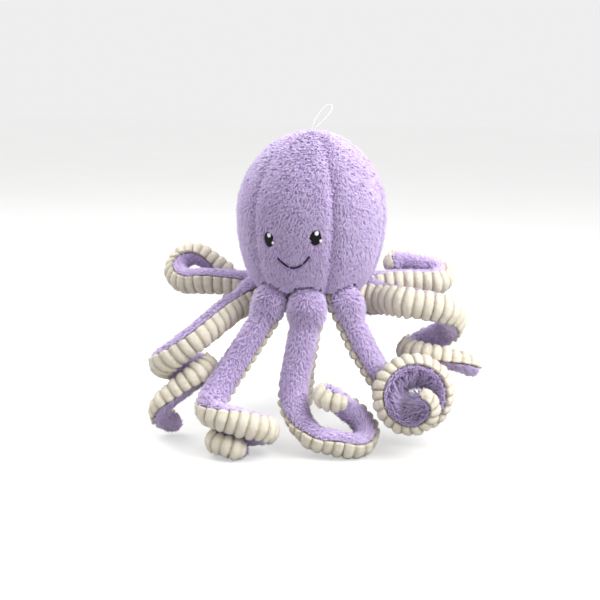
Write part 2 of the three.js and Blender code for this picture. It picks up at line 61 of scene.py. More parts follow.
# %% Units and the roots
MM = 0.001
TENTACLES = 8
RING_TURN = 13
roots = {
    joint["child"].removesuffix("_tentacle"): np.array(joint["pos_m"]) / MM
    for joint in frame["joints"]
}
ring_middle = np.mean(list(roots.values()), axis=0)
RING_HEIGHT = float(ring_middle[2])
axis_xy = ring_middle[:2]
print("ring of roots:", len(roots), "at height", round(RING_HEIGHT, 1))

# %% [markdown]
# ## The camera
#
# The photograph was taken from a little above the toy and a little to its left, with a long lens.
# The focal length and the distance belong together: this pair gives the perspective of the curls at
# the front. A camera looks along its own -Z, so its axes are built from the direction it looks in.

# %% Camera
CAMERA_TURN = math.radians(16)
CAMERA_RISE = math.radians(10.5)
CAMERA_ROLL = math.radians(1)
CAMERA_DISTANCE = 1400
FOCAL_PIXELS = 1186
PICTURE_PIXELS = 600
SENSOR = 36
AIM_LEFT = 11.8
AIM_DROP = 8

right = Vector((math.cos(CAMERA_TURN), math.sin(CAMERA_TURN), 0))
away = Vector((-math.sin(CAMERA_TURN), math.cos(CAMERA_TURN), 0))
back = Vector((0, 0, math.sin(CAMERA_RISE))) - away * math.cos(CAMERA_RISE)
up = back.cross(right)
rolled_right = right * math.cos(CAMERA_ROLL) + up * math.sin(CAMERA_ROLL)
rolled_up = up * math.cos(CAMERA_ROLL) - right * math.sin(CAMERA_ROLL)
aim = Vector((*axis_xy, RING_HEIGHT - AIM_DROP)) - right * AIM_LEFT
camera = bpy.data.objects.new("camera", bpy.data.cameras.new("camera"))
camera.data.lens = FOCAL_PIXELS / PICTURE_PIXELS * SENSOR
camera.data.sensor_width = SENSOR
scene.collection.objects.link(camera)
pose = Matrix((rolled_right, rolled_up, back)).transposed().to_4x4()
pose.translation = (aim + back * CAMERA_DISTANCE) * MM
camera.matrix_world = pose
scene.camera = camera
print("lens", round(camera.data.lens, 1), "mm")

# %% [markdown]
# ## Colours and one helper for nodes
#
# Colours are written as sRGB hex, the way a dye card or a screen shows them, and Cycles wants linear
# light, so one function converts them. A second one adds a node with its settings and links. A
# material could also be put together by hand in the shader editor, but written out it can be repeated.

# %% Colour and node helpers


def linear(hexed):
    """An sRGB hex colour in linear light, by the curve that sRGB is defined with."""
    channels = [int(hexed[i:i + 2], 16) / 255 for i in (1, 3, 5)]
    return [c / 12.92 if c <= 0.04045 else ((c + 0.055) / 1.055) ** 2.4 for c in channels] + [1]


def add_node(tree, kind, settings=None, **inputs):
    """A node of this kind: settings are its own properties, inputs are numbers, colours or sockets."""
    node = tree.nodes.new(kind)
    for name, value in (settings or {}).items():
        setattr(node, name, value)
    for name, value in inputs.items():
        socket = node.inputs[int(name[1:]) if name[1:].isdigit() else name.replace("_", " ")]
        if isinstance(value, bpy.types.NodeSocket):
            tree.links.new(value, socket)
        else:
            socket.default_value = value
    return node


def new_material(name, **shader_inputs):
    """A material with one Principled shader, and these uniform values on its own sockets."""
    material = bpy.data.materials.new(name)
    material.use_nodes = True
    shader = material.node_tree.nodes["Principled BSDF"]
    for key, value in shader_inputs.items():
        shader.inputs[key.replace("_", " ")].default_value = value
    return material, material.node_tree, shader


def set_stops(ramp_node, stops):
    """Colour stops of a Color Ramp node: pairs of a place and an sRGB hex colour."""
    elements = ramp_node.color_ramp.elements
    while len(elements) < len(stops):
        elements.new(0.5)
    for element, (place, colour) in zip(elements, stops):
        element.position = place
        element.color = linear(colour)


print("sRGB #808080 is", round(linear("#808080")[0], 3), "in linear light")

# %% [markdown]
# ## Fibres in general
#
# Thread, cord and wadding are bundles of fibres. From a step away each shows as a fine grain in which
# the fibres that catch the light are paler and stand higher, so one noise gives both the colour and
# the relief. The size of its grain is that of the real fibre bundles.

# %% A material of fibres
GRAIN_DARK, GRAIN_PALE = 0.3, 0.7


def fibrous(name, grain, dark, pale, relief, strength, detail=3.0, distortion=0.0, **shader_inputs):
    """Fibres in two colours, with their grain and relief in millimetres."""
    material, tree, shader = new_material(name, **shader_inputs)
    place = add_node(tree, "ShaderNodeTexCoord")
    fibres = add_node(tree, "ShaderNodeTexNoise", Vector=place.outputs["Object"],
                      Scale=1 / (grain * MM), Detail=detail, Distortion=distortion)
    ramp = add_node(tree, "ShaderNodeValToRGB", Fac=fibres.outputs["Fac"])
    set_stops(ramp, [(GRAIN_DARK, dark), (GRAIN_PALE, pale)])
    bump = add_node(tree, "ShaderNodeBump", Height=fibres.outputs["Fac"], Strength=strength,
                    Distance=relief * MM)
    tree.links.new(ramp.outputs["Color"], shader.inputs["Base Color"])
    tree.links.new(bump.outputs["Normal"], shader.inputs["Normal"])
    print("material", name, "with a grain of", grain, "mm")
    return material


# %% [markdown]
# ## Faux rabbit fur
#
# The cloth is a knitted polyester ground with a dense acrylic pile, dyed lavender. Pile fibres are
# far too fine to model, but in fur this short they gather into small locks, and the locks are what
# the eye sees from a step away. Each lock is a small mesh horn, so the colour can follow it: deeper
# violet at the root, where light hardly reaches, pale at the tip. Acrylic is matt with a soft edge
# glow, which is the shader's sheen. The lock's own place along its length and its own tone come from
# two attributes that the fur maker writes.

# %% Fur material
FUR_ROOT = "#B095C6"
FUR_MIDDLE = "#CAB4E0"
FUR_TIP = "#E1D4F3"
FUR_GLOW = "#E9DFFA"
FUR_PATCH = 28
PATCH_SHARE = 0.5
TONE_SHARE = 0.3
LENGTH_SHARE = 0.72


def fur_material():
    material, tree, shader = new_material(
        "lavender_fur_pile", Roughness=0.92, IOR=1.49, Specular_IOR_Level=0.25,
        Sheen_Weight=0.6, Sheen_Roughness=0.5, Sheen_Tint=linear(FUR_GLOW))
    along = add_node(tree, "ShaderNodeAttribute", {"attribute_name": "along"})
    tone = add_node(tree, "ShaderNodeAttribute", {"attribute_name": "tone"})
    place = add_node(tree, "ShaderNodeTexCoord")
    patches = add_node(tree, "ShaderNodeTexNoise", Vector=place.outputs["Object"],
                       Scale=1 / (FUR_PATCH * MM), Detail=3.0, Roughness=0.6)
    both = add_node(tree, "ShaderNodeMath", {"operation": "MULTIPLY_ADD"},
                    _0=patches.outputs["Fac"], _1=PATCH_SHARE, _2=-PATCH_SHARE / 2)
    spread = add_node(tree, "ShaderNodeMath", {"operation": "MULTIPLY_ADD"},
                      _0=tone.outputs["Fac"], _1=TONE_SHARE, _2=both.outputs[0])
    shade = add_node(tree, "ShaderNodeMath", {"operation": "MULTIPLY_ADD", "use_clamp": True},
                     _0=along.outputs["Fac"], _1=LENGTH_SHARE, _2=spread.outputs[0])
    ramp = add_node(tree, "ShaderNodeValToRGB", Fac=shade.outputs[0])
    set_stops(ramp, [(0.0, FUR_ROOT), (0.45, FUR_MIDDLE), (1.0, FUR_TIP)])
    tree.links.new(ramp.outputs["Color"], shader.inputs["Base Color"])
    return material


fur_pile = fur_material()
print("material", fur_pile.name, "from", FUR_ROOT, "to", FUR_TIP)

# %% [markdown]
# ## The knitted ground under the pile
#
# Between the locks the knitted ground is painted a deeper violet, as painted shade: little light
# reaches down between the locks. It is matt knit, mottled where the dye took unevenly, and it ripples
# softly about every 7 mm. Single knitted rows are finer than the gaps between locks can show, so they
# aren't drawn. Blender's wave pattern counts in radians, twenty to a metre at scale one.

# %% Ground material
KNIT_PER_RADIAN = 1.1
KNIT_RELIEF = 0.3
KNIT_MOTTLE = 3
WAVE_RADIANS = 20


def ground_material():
    material, tree, shader = new_material("lavender_knit_ground", Roughness=0.95, Sheen_Weight=0.2,
                                          Sheen_Roughness=0.6, Specular_IOR_Level=0.2)
    place = add_node(tree, "ShaderNodeTexCoord")
    mottle = add_node(tree, "ShaderNodeTexNoise", Vector=place.outputs["Object"],
                      Scale=1 / (KNIT_MOTTLE * MM), Detail=4.0)
    ramp = add_node(tree, "ShaderNodeValToRGB", Fac=mottle.outputs["Fac"])
    # Both violets are darker than the pile: painted shade between the locks, mottled like the dye.
    set_stops(ramp, [(GRAIN_DARK, "#A48EBC"), (GRAIN_PALE, "#BBA5D2")])
    ripples = add_node(tree, "ShaderNodeTexWave", {"bands_direction": "Z"},
                       Vector=place.outputs["Object"], Scale=1 / (KNIT_PER_RADIAN * MM) / WAVE_RADIANS,
                       Distortion=2.0)
    bump = add_node(tree, "ShaderNodeBump", Height=ripples.outputs["Fac"], Strength=0.5,
                    Distance=KNIT_RELIEF * MM)
    tree.links.new(ramp.outputs["Color"], shader.inputs["Base Color"])
    tree.links.new(bump.outputs["Normal"], shader.inputs["Normal"])
    return material


shaded_fur_ground = ground_material()
print("material", shaded_fur_ground.name, "ripples every", round(2 * math.pi * KNIT_PER_RADIAN, 1), "mm")

# %% [markdown]
# ## Meshes from arrays
#
# All the cloth here is computed, so the helper takes points and faces as arrays, which Blender reads
# many thousands at a time. A closed sleeve of cloth is a row of rings joined by four-sided faces,
# with a lid at each end: the same loft serves for strips, gores and fillings. Cloth simulation would
# be the usual way to pad a cushion, but these parts are tubes and gores whose sections are known, so
# computing them keeps the ribs and seams exactly where the pattern has them.

# %% A piece from arrays


def new_piece(name, points, faces, materials, fields=None, slots=None):
    """An object from points in millimetres. faces is a list of arrays, one per number of corners,
    fields are numbers per point, and slots the material of each face."""
    mesh = bpy.data.meshes.new(name)
    mesh.vertices.add(len(points))
    mesh.vertices.foreach_set("co", (np.asarray(points, float) * MM).astype(np.float32).ravel())
    corners = np.concatenate([f.ravel() for f in faces])
    sizes = np.concatenate([np.full(len(f), f.shape[1]) for f in faces])
    mesh.loops.add(len(corners))
    mesh.loops.foreach_set("vertex_index", corners.astype(np.int32))
    mesh.polygons.add(len(sizes))
    starts = np.concatenate([[0], np.cumsum(sizes)[:-1]])
    mesh.polygons.foreach_set("loop_start", starts.astype(np.int32))
    if slots is not None:
        mesh.polygons.foreach_set("material_index", np.asarray(slots, np.int32))
    mesh.polygons.foreach_set("use_smooth", np.ones(len(sizes), bool))
    mesh.update(calc_edges=True)
    for key, values in (fields or {}).items():
        attribute = mesh.attributes.new(key, "FLOAT", "POINT")
        attribute.data.foreach_set("value", np.asarray(values, np.float32))
    for material in materials:
        mesh.materials.append(material)
    piece = bpy.data.objects.new(name, mesh)
    scene.collection.objects.link(piece)
    return piece


print("one unit in these arrays is", MM, "m")

# %% Lofts


def loft(rings):
    """Points and faces of a closed body through rings, an array of rows, corners and x, y, z."""
    rows, around = rings.shape[:2]
    points = rings.reshape(-1, 3)
    number = np.arange(rows * around).reshape(rows, around)
    after = np.roll(number, -1, axis=1)
    quads = np.stack([number[:-1], after[:-1], after[1:], number[1:]], -1).reshape(-1, 4)
    lids = np.stack([number[0][::-1], number[-1]])
    a, b, c, d = (points[quads[:, i]] for i in range(4))
    volume = np.einsum("ij,ij->", a, np.cross(b, c)) + np.einsum("ij,ij->", a, np.cross(c, d))
    if volume < 0:
        quads = quads[:, ::-1]
        lids = lids[:, ::-1]
    return points, [quads, lids]


def read_all(items, field, kind=np.int32, width=1):
    """One field of all items of a mesh, as an array."""
    values = np.empty(len(items) * width, kind)
    items.foreach_get(field, values)
    return values.reshape(-1, width) if width > 1 else values


sides, lids = loft(np.array([[(0, 0, z), (1, 0, z), (1, 1, z), (0, 1, z)] for z in range(3)], float))[1]
print("a loft of three squares has", len(sides), "sides and", len(lids), "lids")

# %% Small measures


def unit(v):
    return v / np.maximum(np.linalg.norm(v, axis=-1, keepdims=True), 1e-9)


def smooth(t):
    """A soft step from 0 to 1 as t goes from 0 to 1."""
    t = np.clip(t, 0, 1)
    return t * t * (3 - 2 * t)


def hump(s, place, reach):
    """A rounded rise of height 1 at a place, which has gone at about twice its reach."""
    return np.exp(-((s - place) / reach) ** 2)


def full_turn(sides):
    """The angles of the corners of a regular shape."""
    return np.arange(sides) * 2 * math.pi / sides


def run_along(points):
    """How far along a line each of its points lies."""
    return np.concatenate([[0], np.cumsum(np.linalg.norm(np.diff(points, axis=0), axis=1))])


def on_floor(points):
    """Cloth that would reach below the floor lies flat on it."""
    return np.concatenate([points[..., :2], np.maximum(points[..., 2:], 0)], axis=-1)


def cloth_rings(outer, inner):
    """Rings of cloth that has an inside: out along its outer face, back along its inner one."""
    return on_floor(np.concatenate([outer, inner[:, ::-1]], axis=1))


def grid_normals(grid, inside):
    """Normals of a surface grid, from the differences along its two directions, facing away from
    the points inside it."""
    normals = unit(np.cross(np.gradient(grid, axis=1), np.gradient(grid, axis=0)))
    return -normals if np.einsum("ijk,ijk->", normals, grid - inside) < 0 else normals


print("a hump at twice its reach is", round(float(hump(2, 0, 1)), 3))

# %% [markdown]
# ## Scattering
#
# Blender's own hair would be another way to make pile, but the toy is handed over as meshes, so each
# lock is a mesh too. Locks are scattered evenly over a surface grid: a cell of the grid gets as many
# as its area asks for. One stream of random numbers serves the whole toy, so every run gives the same.

# %% Scattering places over cloth
SEED = 20
rng = np.random.default_rng(SEED)


def scatter(grid, spacing):
    """Places spread evenly over a surface grid, as a function that reads any field there."""
    edge_u = grid[1:, :-1] - grid[:-1, :-1]
    edge_v = grid[:-1, 1:] - grid[:-1, :-1]
    areas = np.linalg.norm(np.cross(edge_u, edge_v), axis=-1)
    total = np.cumsum(areas.ravel())
    count = int(total[-1] / spacing ** 2)
    picks = (np.arange(count) + rng.random(count)) / count * total[-1]
    cells = np.minimum(np.searchsorted(total, picks), areas.size - 1)
    i, j = np.divmod(cells, areas.shape[1])
    u, v = rng.random((2, count))

    def read(field):
        field = np.asarray(field, float)
        wide = (slice(None),) + (None,) * (field.ndim - 2)
        fu, fv = u[wide], v[wide]
        low = field[i, j] * (1 - fv) + field[i, j + 1] * fv
        high = field[i + 1, j] * (1 - fv) + field[i + 1, j + 1] * fv
        return low * (1 - fu) + high * fu

    return read


print("random numbers start from", SEED)

# %% [markdown]
# ## The fur maker
#
# Each lock leans the way its cloth is combed, more or less, and then gathers: its tip is drawn
# towards the tip of a neighbour, which gives the small tufts and partings of real pile. A lock is a
# three-sided horn with a knee in it, nine triangles in all, rooted a little under the cloth. Its
# normals lean to those of the cloth, because light goes through pile and a lock isn't shaded like a
# hard spike.

# %% Growing locks
LOCK_SIDES = 3
LOCK_WIDTH = 1.25
LOCK_ROOT_DEPTH = 0.8
LOCK_KNEE = 0.5
KNEE_WIDTH = 0.92
KNEE_BEND = 24
STEEPEST = 80
LOCK_RISE = 28
RISE_SPREAD = 9
RISE_LIMITS = (8, 70)
COMB_SPREAD = 38
LENGTH_SPREAD = (0.7, 1.15)
WIDTH_SPREAD = (0.75, 1.25)
CLUMP_OF = 7
GATHER = 0.3
OWN_TONE, CLUMP_TONE = 0.45, 0.55


def grow_locks(root, normal, comb, length, rise=LOCK_RISE, spread=LENGTH_SPREAD):
    """Locks as named arrays, from their roots, the cloth's normals, combing directions and lengths."""
    count = len(root)
    length = (length * rng.uniform(*spread, count))[:, None]
    width = LOCK_WIDTH * rng.uniform(*WIDTH_SPREAD, count)
    comb = unit(comb - normal * np.einsum("ij,ij->i", comb, normal)[:, None])
    turn = np.radians(rng.normal(0, COMB_SPREAD, count))[:, None]
    comb = comb * np.cos(turn) + np.cross(normal, comb) * np.sin(turn)
    lift = np.radians(np.clip(rng.normal(rise, RISE_SPREAD, count), *RISE_LIMITS))[:, None]
    steep = np.minimum(lift + np.radians(KNEE_BEND), np.radians(STEEPEST))
    first = normal * np.sin(steep) + comb * np.cos(steep)
    second = normal * np.sin(lift) + comb * np.cos(lift)
    start = root - normal * LOCK_ROOT_DEPTH
    knee = start + first * length * LOCK_KNEE
    tip = knee + second * length * (1 - LOCK_KNEE)
    tone = rng.random(count)
    heads = np.arange(0, count, CLUMP_OF)
    tree = KDTree(len(heads))
    for n, head_index in enumerate(heads):
        tree.insert(root[head_index], n)
    tree.balance()
    chosen = heads[[tree.find(p)[1] for p in root]]
    tone = OWN_TONE * tone + CLUMP_TONE * rng.random(count)[chosen]
    pull = GATHER * rng.random(count)[:, None]
    tip = tip + (tip[chosen] - tip) * pull
    knee = knee + (knee[chosen] - knee) * pull * 0.5
    return dict(start=start, knee=knee, tip=tip, normal=normal, first=first, width=width, tone=tone)


print("locks gather in clumps of about", CLUMP_OF)

# %% Locks as a mesh
KNEE_MARK = 0.55
SIDEWAYS_AT_ROOT, SIDEWAYS_AT_KNEE, FORWARD_AT_TIP = 0.5, 0.55, 0.4


def lock_mesh(locks):
    """Points, faces, normals, and the fields along and tone, seven points to a lock."""
    start, knee, tip, normal, first, width, tone = locks.values()
    side = unit(np.cross(first, normal) + 1e-6)
    over = unit(np.cross(side, first))
    turns = full_turn(LOCK_SIDES) + math.pi / 2
    around = side[:, None] * np.cos(turns)[:, None] + over[:, None] * np.sin(turns)[:, None]
    base = start[:, None] + around * width[:, None, None] * 0.5
    bend = knee[:, None] + around * width[:, None, None] * (KNEE_WIDTH / 2)
    points = np.concatenate([base, bend, tip[:, None]], axis=1)
    soft = unit(np.concatenate([around * SIDEWAYS_AT_ROOT + normal[:, None],
                                around * SIDEWAYS_AT_KNEE + normal[:, None],
                                (first * FORWARD_AT_TIP + normal)[:, None]], axis=1))
    k = np.arange(LOCK_SIDES)
    after = (k + 1) % LOCK_SIDES
    quads = np.stack([after, k, k + LOCK_SIDES, after + LOCK_SIDES], -1)
    tops = np.stack([after + LOCK_SIDES, k + LOCK_SIDES, np.full(LOCK_SIDES, 2 * LOCK_SIDES)], -1)
    offset = (np.arange(len(start)) * (2 * LOCK_SIDES + 1))[:, None, None]
    along = np.tile([0.0] * LOCK_SIDES + [KNEE_MARK] * LOCK_SIDES + [1.0], len(start))
    return (points.reshape(-1, 3), (quads + offset).reshape(-1, 4), (tops + offset).reshape(-1, 3),
            soft.reshape(-1, 3), along, np.repeat(tone, 2 * LOCK_SIDES + 1))


print("a lock has", 2 * LOCK_SIDES + 1, "points")

# %% A piece of fur


def set_soft_normals(mesh, first, soft):
    """Gives the pile, which starts at point number first, its own normals."""
    normals = read_all(mesh.vertex_normals, "vector", np.float32, 3)
    normals[first:] = soft
    mesh.normals_split_custom_set_from_vertices(normals)


def fur_piece(name, points, faces, locks):
    """One piece of fur cloth: its ground, as points and faces, and the locks that grow from it."""
    lock_points, quads, tops, soft, along, tone = lock_mesh(locks)
    first = len(points)
    count = len(tops) // LOCK_SIDES
    ground_faces = sum(len(f) for f in faces)
    fields = {"along": np.concatenate([np.zeros(first), along]),
              "tone": np.concatenate([np.full(first, 0.5), tone])}
    slots = np.concatenate([np.zeros(ground_faces), np.ones(len(quads) + len(tops))])
    piece = new_piece(name, on_floor(np.concatenate([points, lock_points])),
                      [*faces, quads + first, tops + first], [shaded_fur_ground, fur_pile], fields, slots)
    set_soft_normals(piece.data, first, soft)
    lay_out_fur(piece.data, ground_faces, count)
    print(name, count, "locks")
    return piece


# %% [markdown]
# ## A map for fur
#
# Each fur piece brings its own map, for painting the finished model onto flat pictures: every lock
# gets one cell of a square table, its three sides next to each other, and the ground cloth gets the
# strip above the table. Blender's automatic maps would break pile into scraps too small to paint.

# %% Laying out the fur's map
TABLE_TOP = 0.86
CELL_EDGE = 0.06
MAP_MARGIN = 0.01
LOCK_SIDE_CELL = ([0.0, 1.0, 1.0, 0.0], [0.0, 0.0, KNEE_MARK, KNEE_MARK])
LOCK_TIP_CELL = ([0.0, 1.0, 0.5], [KNEE_MARK, KNEE_MARK, 1.0])


def lay_out_cells(uv, start, count, kinds, bottom, height):
    """Map corners of count locks, from corner number start, in a table of cells. Each kind of face
    gives its corners' shares of the cell, across and upwards."""
    columns = max(math.ceil(math.sqrt(count)), 1)
    inner = 1 - 2 * CELL_EDGE
    for across, upward in kinds:
        corners = len(across)
        lock, corner = np.divmod(np.arange(count * LOCK_SIDES * corners), LOCK_SIDES * corners)
        side, turn = np.divmod(corner, corners)
        row, column = np.divmod(lock, columns)
        share = (side + np.choose(turn, across)) / LOCK_SIDES
        end = start + len(lock)
        uv[start:end, 0] = (column + CELL_EDGE + inner * share) / columns
        uv[start:end, 1] = bottom + (row + CELL_EDGE + inner * np.choose(turn, upward)) * height / columns
        start = end


def write_map(mesh, uv):
    mesh.uv_layers.new(name="OFBake").uv.foreach_set("vector", uv.astype(np.float32).ravel())


def lay_out_fur(mesh, ground_faces, lock_count):
    """The ground seen from the front in its strip, and the locks in their table."""
    vertex = read_all(mesh.loops, "vertex_index")
    ground = int(read_all(mesh.polygons, "loop_start")[ground_faces])
    place = read_all(mesh.vertices, "co", np.float32, 3)[vertex[:ground]]
    low, high = place.min(0), place.max(0)
    flat = (place - low) / np.maximum(high - low, 1e-6)
    uv = np.zeros((len(vertex), 2))
    uv[:ground, 0] = flat[:, 0]
    uv[:ground, 1] = TABLE_TOP + MAP_MARGIN + (1 - TABLE_TOP - 2 * MAP_MARGIN) * flat[:, 2]
    lay_out_cells(uv, ground, lock_count, (LOCK_SIDE_CELL, LOCK_TIP_CELL), 0, TABLE_TOP)
    write_map(mesh, uv)


print("the locks' table is", TABLE_TOP, "of the map high")

# %% [markdown]
# ## The tentacles' middle lines
#
# A tentacle of stuffed cloth is described by one line through its middle: it leaves the root at a
# droop and a swing, runs to its curl, and winds round a racetrack that shrinks, leans and drifts as
# it goes. The direction that the fur faces is carried along the line and turned until it looks into
# the curl. These are the same numbers that shaped the solids, so the cloth lies where they are.

# %% How each tentacle lies
LIES = {
    "front_left": dict(
        slot=7, droop=62, swing=0, reach=(45, 50), turned=0, turn_over=(50, 90), centre=(77, 35, -109),
        stands=True, heading=138, slope=-4, lean=(-8, -22), hand=1, size=(35, 18, 24, 14),
        start=-180, sweep=470, tighten=1, drift=(0, 0, -45), face=(0, 0)),
    "front": dict(
        slot=0, droop=80, swing=-6, reach=(60, 62), turned=0, turn_over=(60, 40), centre=(37, 38, -140),
        stands=True, heading=93, slope=-26, lean=(24, 14), hand=1, size=(38, 22, 22, 13),
        start=-150, sweep=430, tighten=1, drift=(8, -8, 52), face=(34, 0)),
    "front_right": dict(
        slot=1, droop=68, swing=8, reach=(66, 46), turned=0.5, turn_over=(10, -40), centre=(71, 39, -100),
        stands=False, heading=48, slope=0, lean=(84, 84), hand=1, size=(37, 37, 12, 12),
        start=-30, sweep=450, tighten=1.8, drift=(0, -62, 0), face=(5, -18)),
    "right": dict(
        slot=2, droop=7, swing=0, reach=(40, 36), turned=0.8, turn_over=(0, 1), centre=(70, -20, -13),
        stands=False, heading=3, slope=8, lean=(-28, -20), hand=1, size=(37, 25, 29, 21),
        start=-90, sweep=450, tighten=1, drift=(38, 4, -74), face=(22, -60)),
    "back_right": dict(
        slot=3, droop=-2, swing=0, reach=(20, 30), turned=0.8, turn_over=(0, 1), centre=(90, -33, 9),
        stands=False, heading=-42, slope=-4, lean=(8, 20), hand=1, size=(36, 20, 28, 17),
        start=-90, sweep=290, tighten=1, drift=(0, 0, 16), face=(0, 0)),
    "back": dict(
        slot=4, droop=70, swing=10, reach=(50, 40), turned=0, turn_over=(0, 1), centre=(40, 14, -119),
        stands=True, heading=3, slope=0, lean=(90, 90), hand=1, size=(38, 38, 20, 20),
        start=180, sweep=300, tighten=1.2, drift=(0, 0, 0), face=(0, 0)),
    "back_left": dict(
        slot=5, droop=8, swing=0, reach=(20, 30), turned=0.7, turn_over=(0, 1), centre=(100, 36, 17),
        stands=False, heading=48, slope=18, lean=(30, 150), hand=-1, size=(42, 32, 30, 18),
        start=-90, sweep=310, tighten=1, drift=(-6, 20, -36), face=(-15, 30)),
    "left": dict(
        slot=6, droop=25, swing=0, reach=(50, 40), turned=0.8, turn_over=(0, 1), centre=(80, 47, -50),
        stands=False, heading=3, slope=-26, lean=(0, -40), hand=-1, size=(34, 19, 24, 16),
        start=-90, sweep=530, tighten=1, drift=(12, -13, -88), face=(-40, 53)),
}

print("standing on the floor:", [name for name, lie in LIES.items() if lie["stands"]])

# %% Racetrack


def mixed(pair, t):
    return pair[0] + (pair[1] - pair[0]) * t


def racetrack(a, b, turn):
    """A point on a racetrack of half length a and half width b, at a turn in degrees."""
    straight = 2 * (a - b)
    bend = math.pi * b
    s = (turn / 360) % 1 * 2 * (straight + bend)
    if s < bend / 2:
        return a - b + b * math.cos(s / b), b * math.sin(s / b)
    s -= bend / 2
    if s < straight:
        return a - b - s, b
    s -= straight
    if s < bend:
        return b - a - b * math.sin(s / b), b * math.cos(s / b)
    s -= bend
    if s < straight:
        return b - a + s, -b
    s -= straight
    return a - b + b * math.sin(s / b), -b * math.cos(s / b)


print("halfway round a track of 70 by 36 mm:", np.round(racetrack(35, 18, 180), 1))

# %% Curl
COIL_POINTS = 360
VERTICAL = np.array([0.0, 0.0, 1.0])


def curl(lie, centre_up):
    """Points of the winding part, and the direction from each into the curl."""
    heading, slope = math.radians(lie["heading"]), math.radians(lie["slope"])
    flat = np.array([math.cos(heading), math.sin(heading), 0])
    u = flat * math.cos(slope) + VERTICAL * math.sin(slope)
    k = VERTICAL * math.cos(slope) - flat * math.sin(slope)
    across = np.cross(k, u) * lie["hand"]
    sideways = np.cross(VERTICAL, flat) * lie["hand"]
    centre = np.array([*lie["centre"][:2], centre_up])
    drift = flat * lie["drift"][0] + sideways * lie["drift"][1] + VERTICAL * lie["drift"][2]
    coil, inward = [], []
    for t in np.linspace(0, 1, COIL_POINTS):
        shrink = t ** lie["tighten"]
        a, b = mixed(lie["size"][0::2], shrink), mixed(lie["size"][1::2], shrink)
        x, y = racetrack(a, b, lie["start"] + lie["sweep"] * t)
        lean = math.radians(mixed(lie["lean"], t))
        v = across * math.cos(lean) + k * math.sin(lean)
        axle = np.cross(u, v) * math.tan(math.radians(mixed(lie["face"], t)))
        hub = centre + drift * t
        point = hub + u * x + v * y
        towards = hub + u * np.clip(x, b - a, a - b) - point
        coil.append(point)
        inward.append(towards / np.linalg.norm(towards) + axle)
    return np.array(coil), inward


first_curl = curl(LIES["front"], LIES["front"]["centre"][2])[0]
print("the front curl is", round(run_along(first_curl)[-1]), "mm long")

# %% Which way the fur faces
RUN_POINTS = 80


def squared(w, tangent):
    w = w - tangent * np.dot(w, tangent)
    return w / np.linalg.norm(w)


def spun(w, tangent, angle):
    """w turned about a tangent that it is square to."""
    return w * math.cos(angle) + np.cross(tangent, w) * math.sin(angle)


def fur_way(lie, fur_leave, tangents, lengths, inward):
    """Fur directions along a tentacle: carried on from the root, then turned into the curl."""
    fur = [squared(fur_leave, tangents[0])]
    for tangent in tangents[1:]:
        fur.append(squared(fur[-1], tangent))
    wanted = [squared(w, tangents[RUN_POINTS + i]) for i, w in enumerate(inward)]
    twists = np.unwrap([math.atan2(np.dot(np.cross(f, w), q), np.dot(f, w))
                        for f, w, q in zip(fur[RUN_POINTS:], wanted, tangents[RUN_POINTS:])])
    begin = lie["turn_over"][0]
    finish = lengths[RUN_POINTS] + lie["turn_over"][1]
    share = mixed((lie["turned"], 1), smooth((lengths - begin) / (finish - begin)))
    return np.array([spun(f, q, twists[max(i - RUN_POINTS, 0)] * share[i])
                     for i, (f, q) in enumerate(zip(fur, tangents))])


print("x turned a quarter about z:", np.round(spun(np.array([1.0, 0, 0]), VERTICAL, math.pi / 2), 3))

# %% Middle line


def middle_line(lie, centre_up):
    """Points, tangents, fur directions and lengths along a tentacle, from its root. One cubic curve
    leads out of the root and into the curl."""
    droop, swing = math.radians(lie["droop"]), math.radians(lie["swing"])
    outward = np.array([math.cos(swing), math.sin(swing), 0])
    leave = outward * math.cos(droop) - VERTICAL * math.sin(droop)
    fur_leave = outward * math.sin(droop) + VERTICAL * math.cos(droop)
    coil, inward = curl(lie, centre_up)
    enter = (coil[1] - coil[0]) / np.linalg.norm(coil[1] - coil[0])
    controls = [np.zeros(3), leave * lie["reach"][0], coil[0] - enter * lie["reach"][1], coil[0]]
    t = np.linspace(0, 1, RUN_POINTS + 1)[:-1, None]
    weights = [(1 - t) ** 3, 3 * t * (1 - t) ** 2, 3 * t ** 2 * (1 - t), t ** 3]
    points = np.concatenate([sum(w * c for w, c in zip(weights, controls)), coil])
    number = np.arange(len(points))
    tangents = unit(points[np.minimum(number + 1, number[-1])] - points[np.maximum(number - 1, 0)])
    tangents[0] = leave
    lengths = run_along(points)
    return points, tangents, fur_way(lie, fur_leave, tangents, lengths, inward), lengths


print("one line has", RUN_POINTS + COIL_POINTS, "points")

# %% [markdown]
# ## A tentacle's cross-section
#
# The root is a ball that turns in the head's underside, then the tube swells to its full width and
# tapers to a rounded tip. It is wider across its two side seams than it is thick.

# %% Cross-section
ROOT_BALL = 20
NECK_WIDTH, FULL_WIDTH, TIP_WIDTH = 33, 39, 27
ROOT_THICKNESS, TIP_THICKNESS = 31, 21
NECK_LENGTH = 30
TIP_ROUND = 10
TAPER_CURVE = 1.2
SEAM_DROP = 10
FUR_CLOTH = 3
RIBBED_CLOTH = 3.5
SEAM_GAP = 0.7


def half_sizes(s, length):
    """Half width and half thickness at distances s along a tentacle, as arrays."""
    ball = np.sqrt(np.maximum(ROOT_BALL ** 2 - s * s, 0))
    taper = np.clip((s - NECK_LENGTH) / (length - NECK_LENGTH), 0, 1)
    full = mixed((NECK_WIDTH, FULL_WIDTH), smooth(s / NECK_LENGTH))
    width = full + (TIP_WIDTH - full) * taper ** TAPER_CURVE
    thickness = mixed((ROOT_THICKNESS, TIP_THICKNESS), np.maximum(s, 0) / length)
    left = np.clip((length - s) / TIP_ROUND, 0, 1)
    rounded = np.sqrt(np.maximum(1 - (1 - left) ** 2, 0))
    body = [np.where(s < 0, 0, size / 2 * rounded) for size in (width, thickness)]
    return [np.maximum(np.where(s < ROOT_BALL, ball, 0), half) for half in body]


print("half sizes 100 mm along one of 500 mm:",
      [round(float(half), 1) for half in half_sizes(np.array(100), 500)])

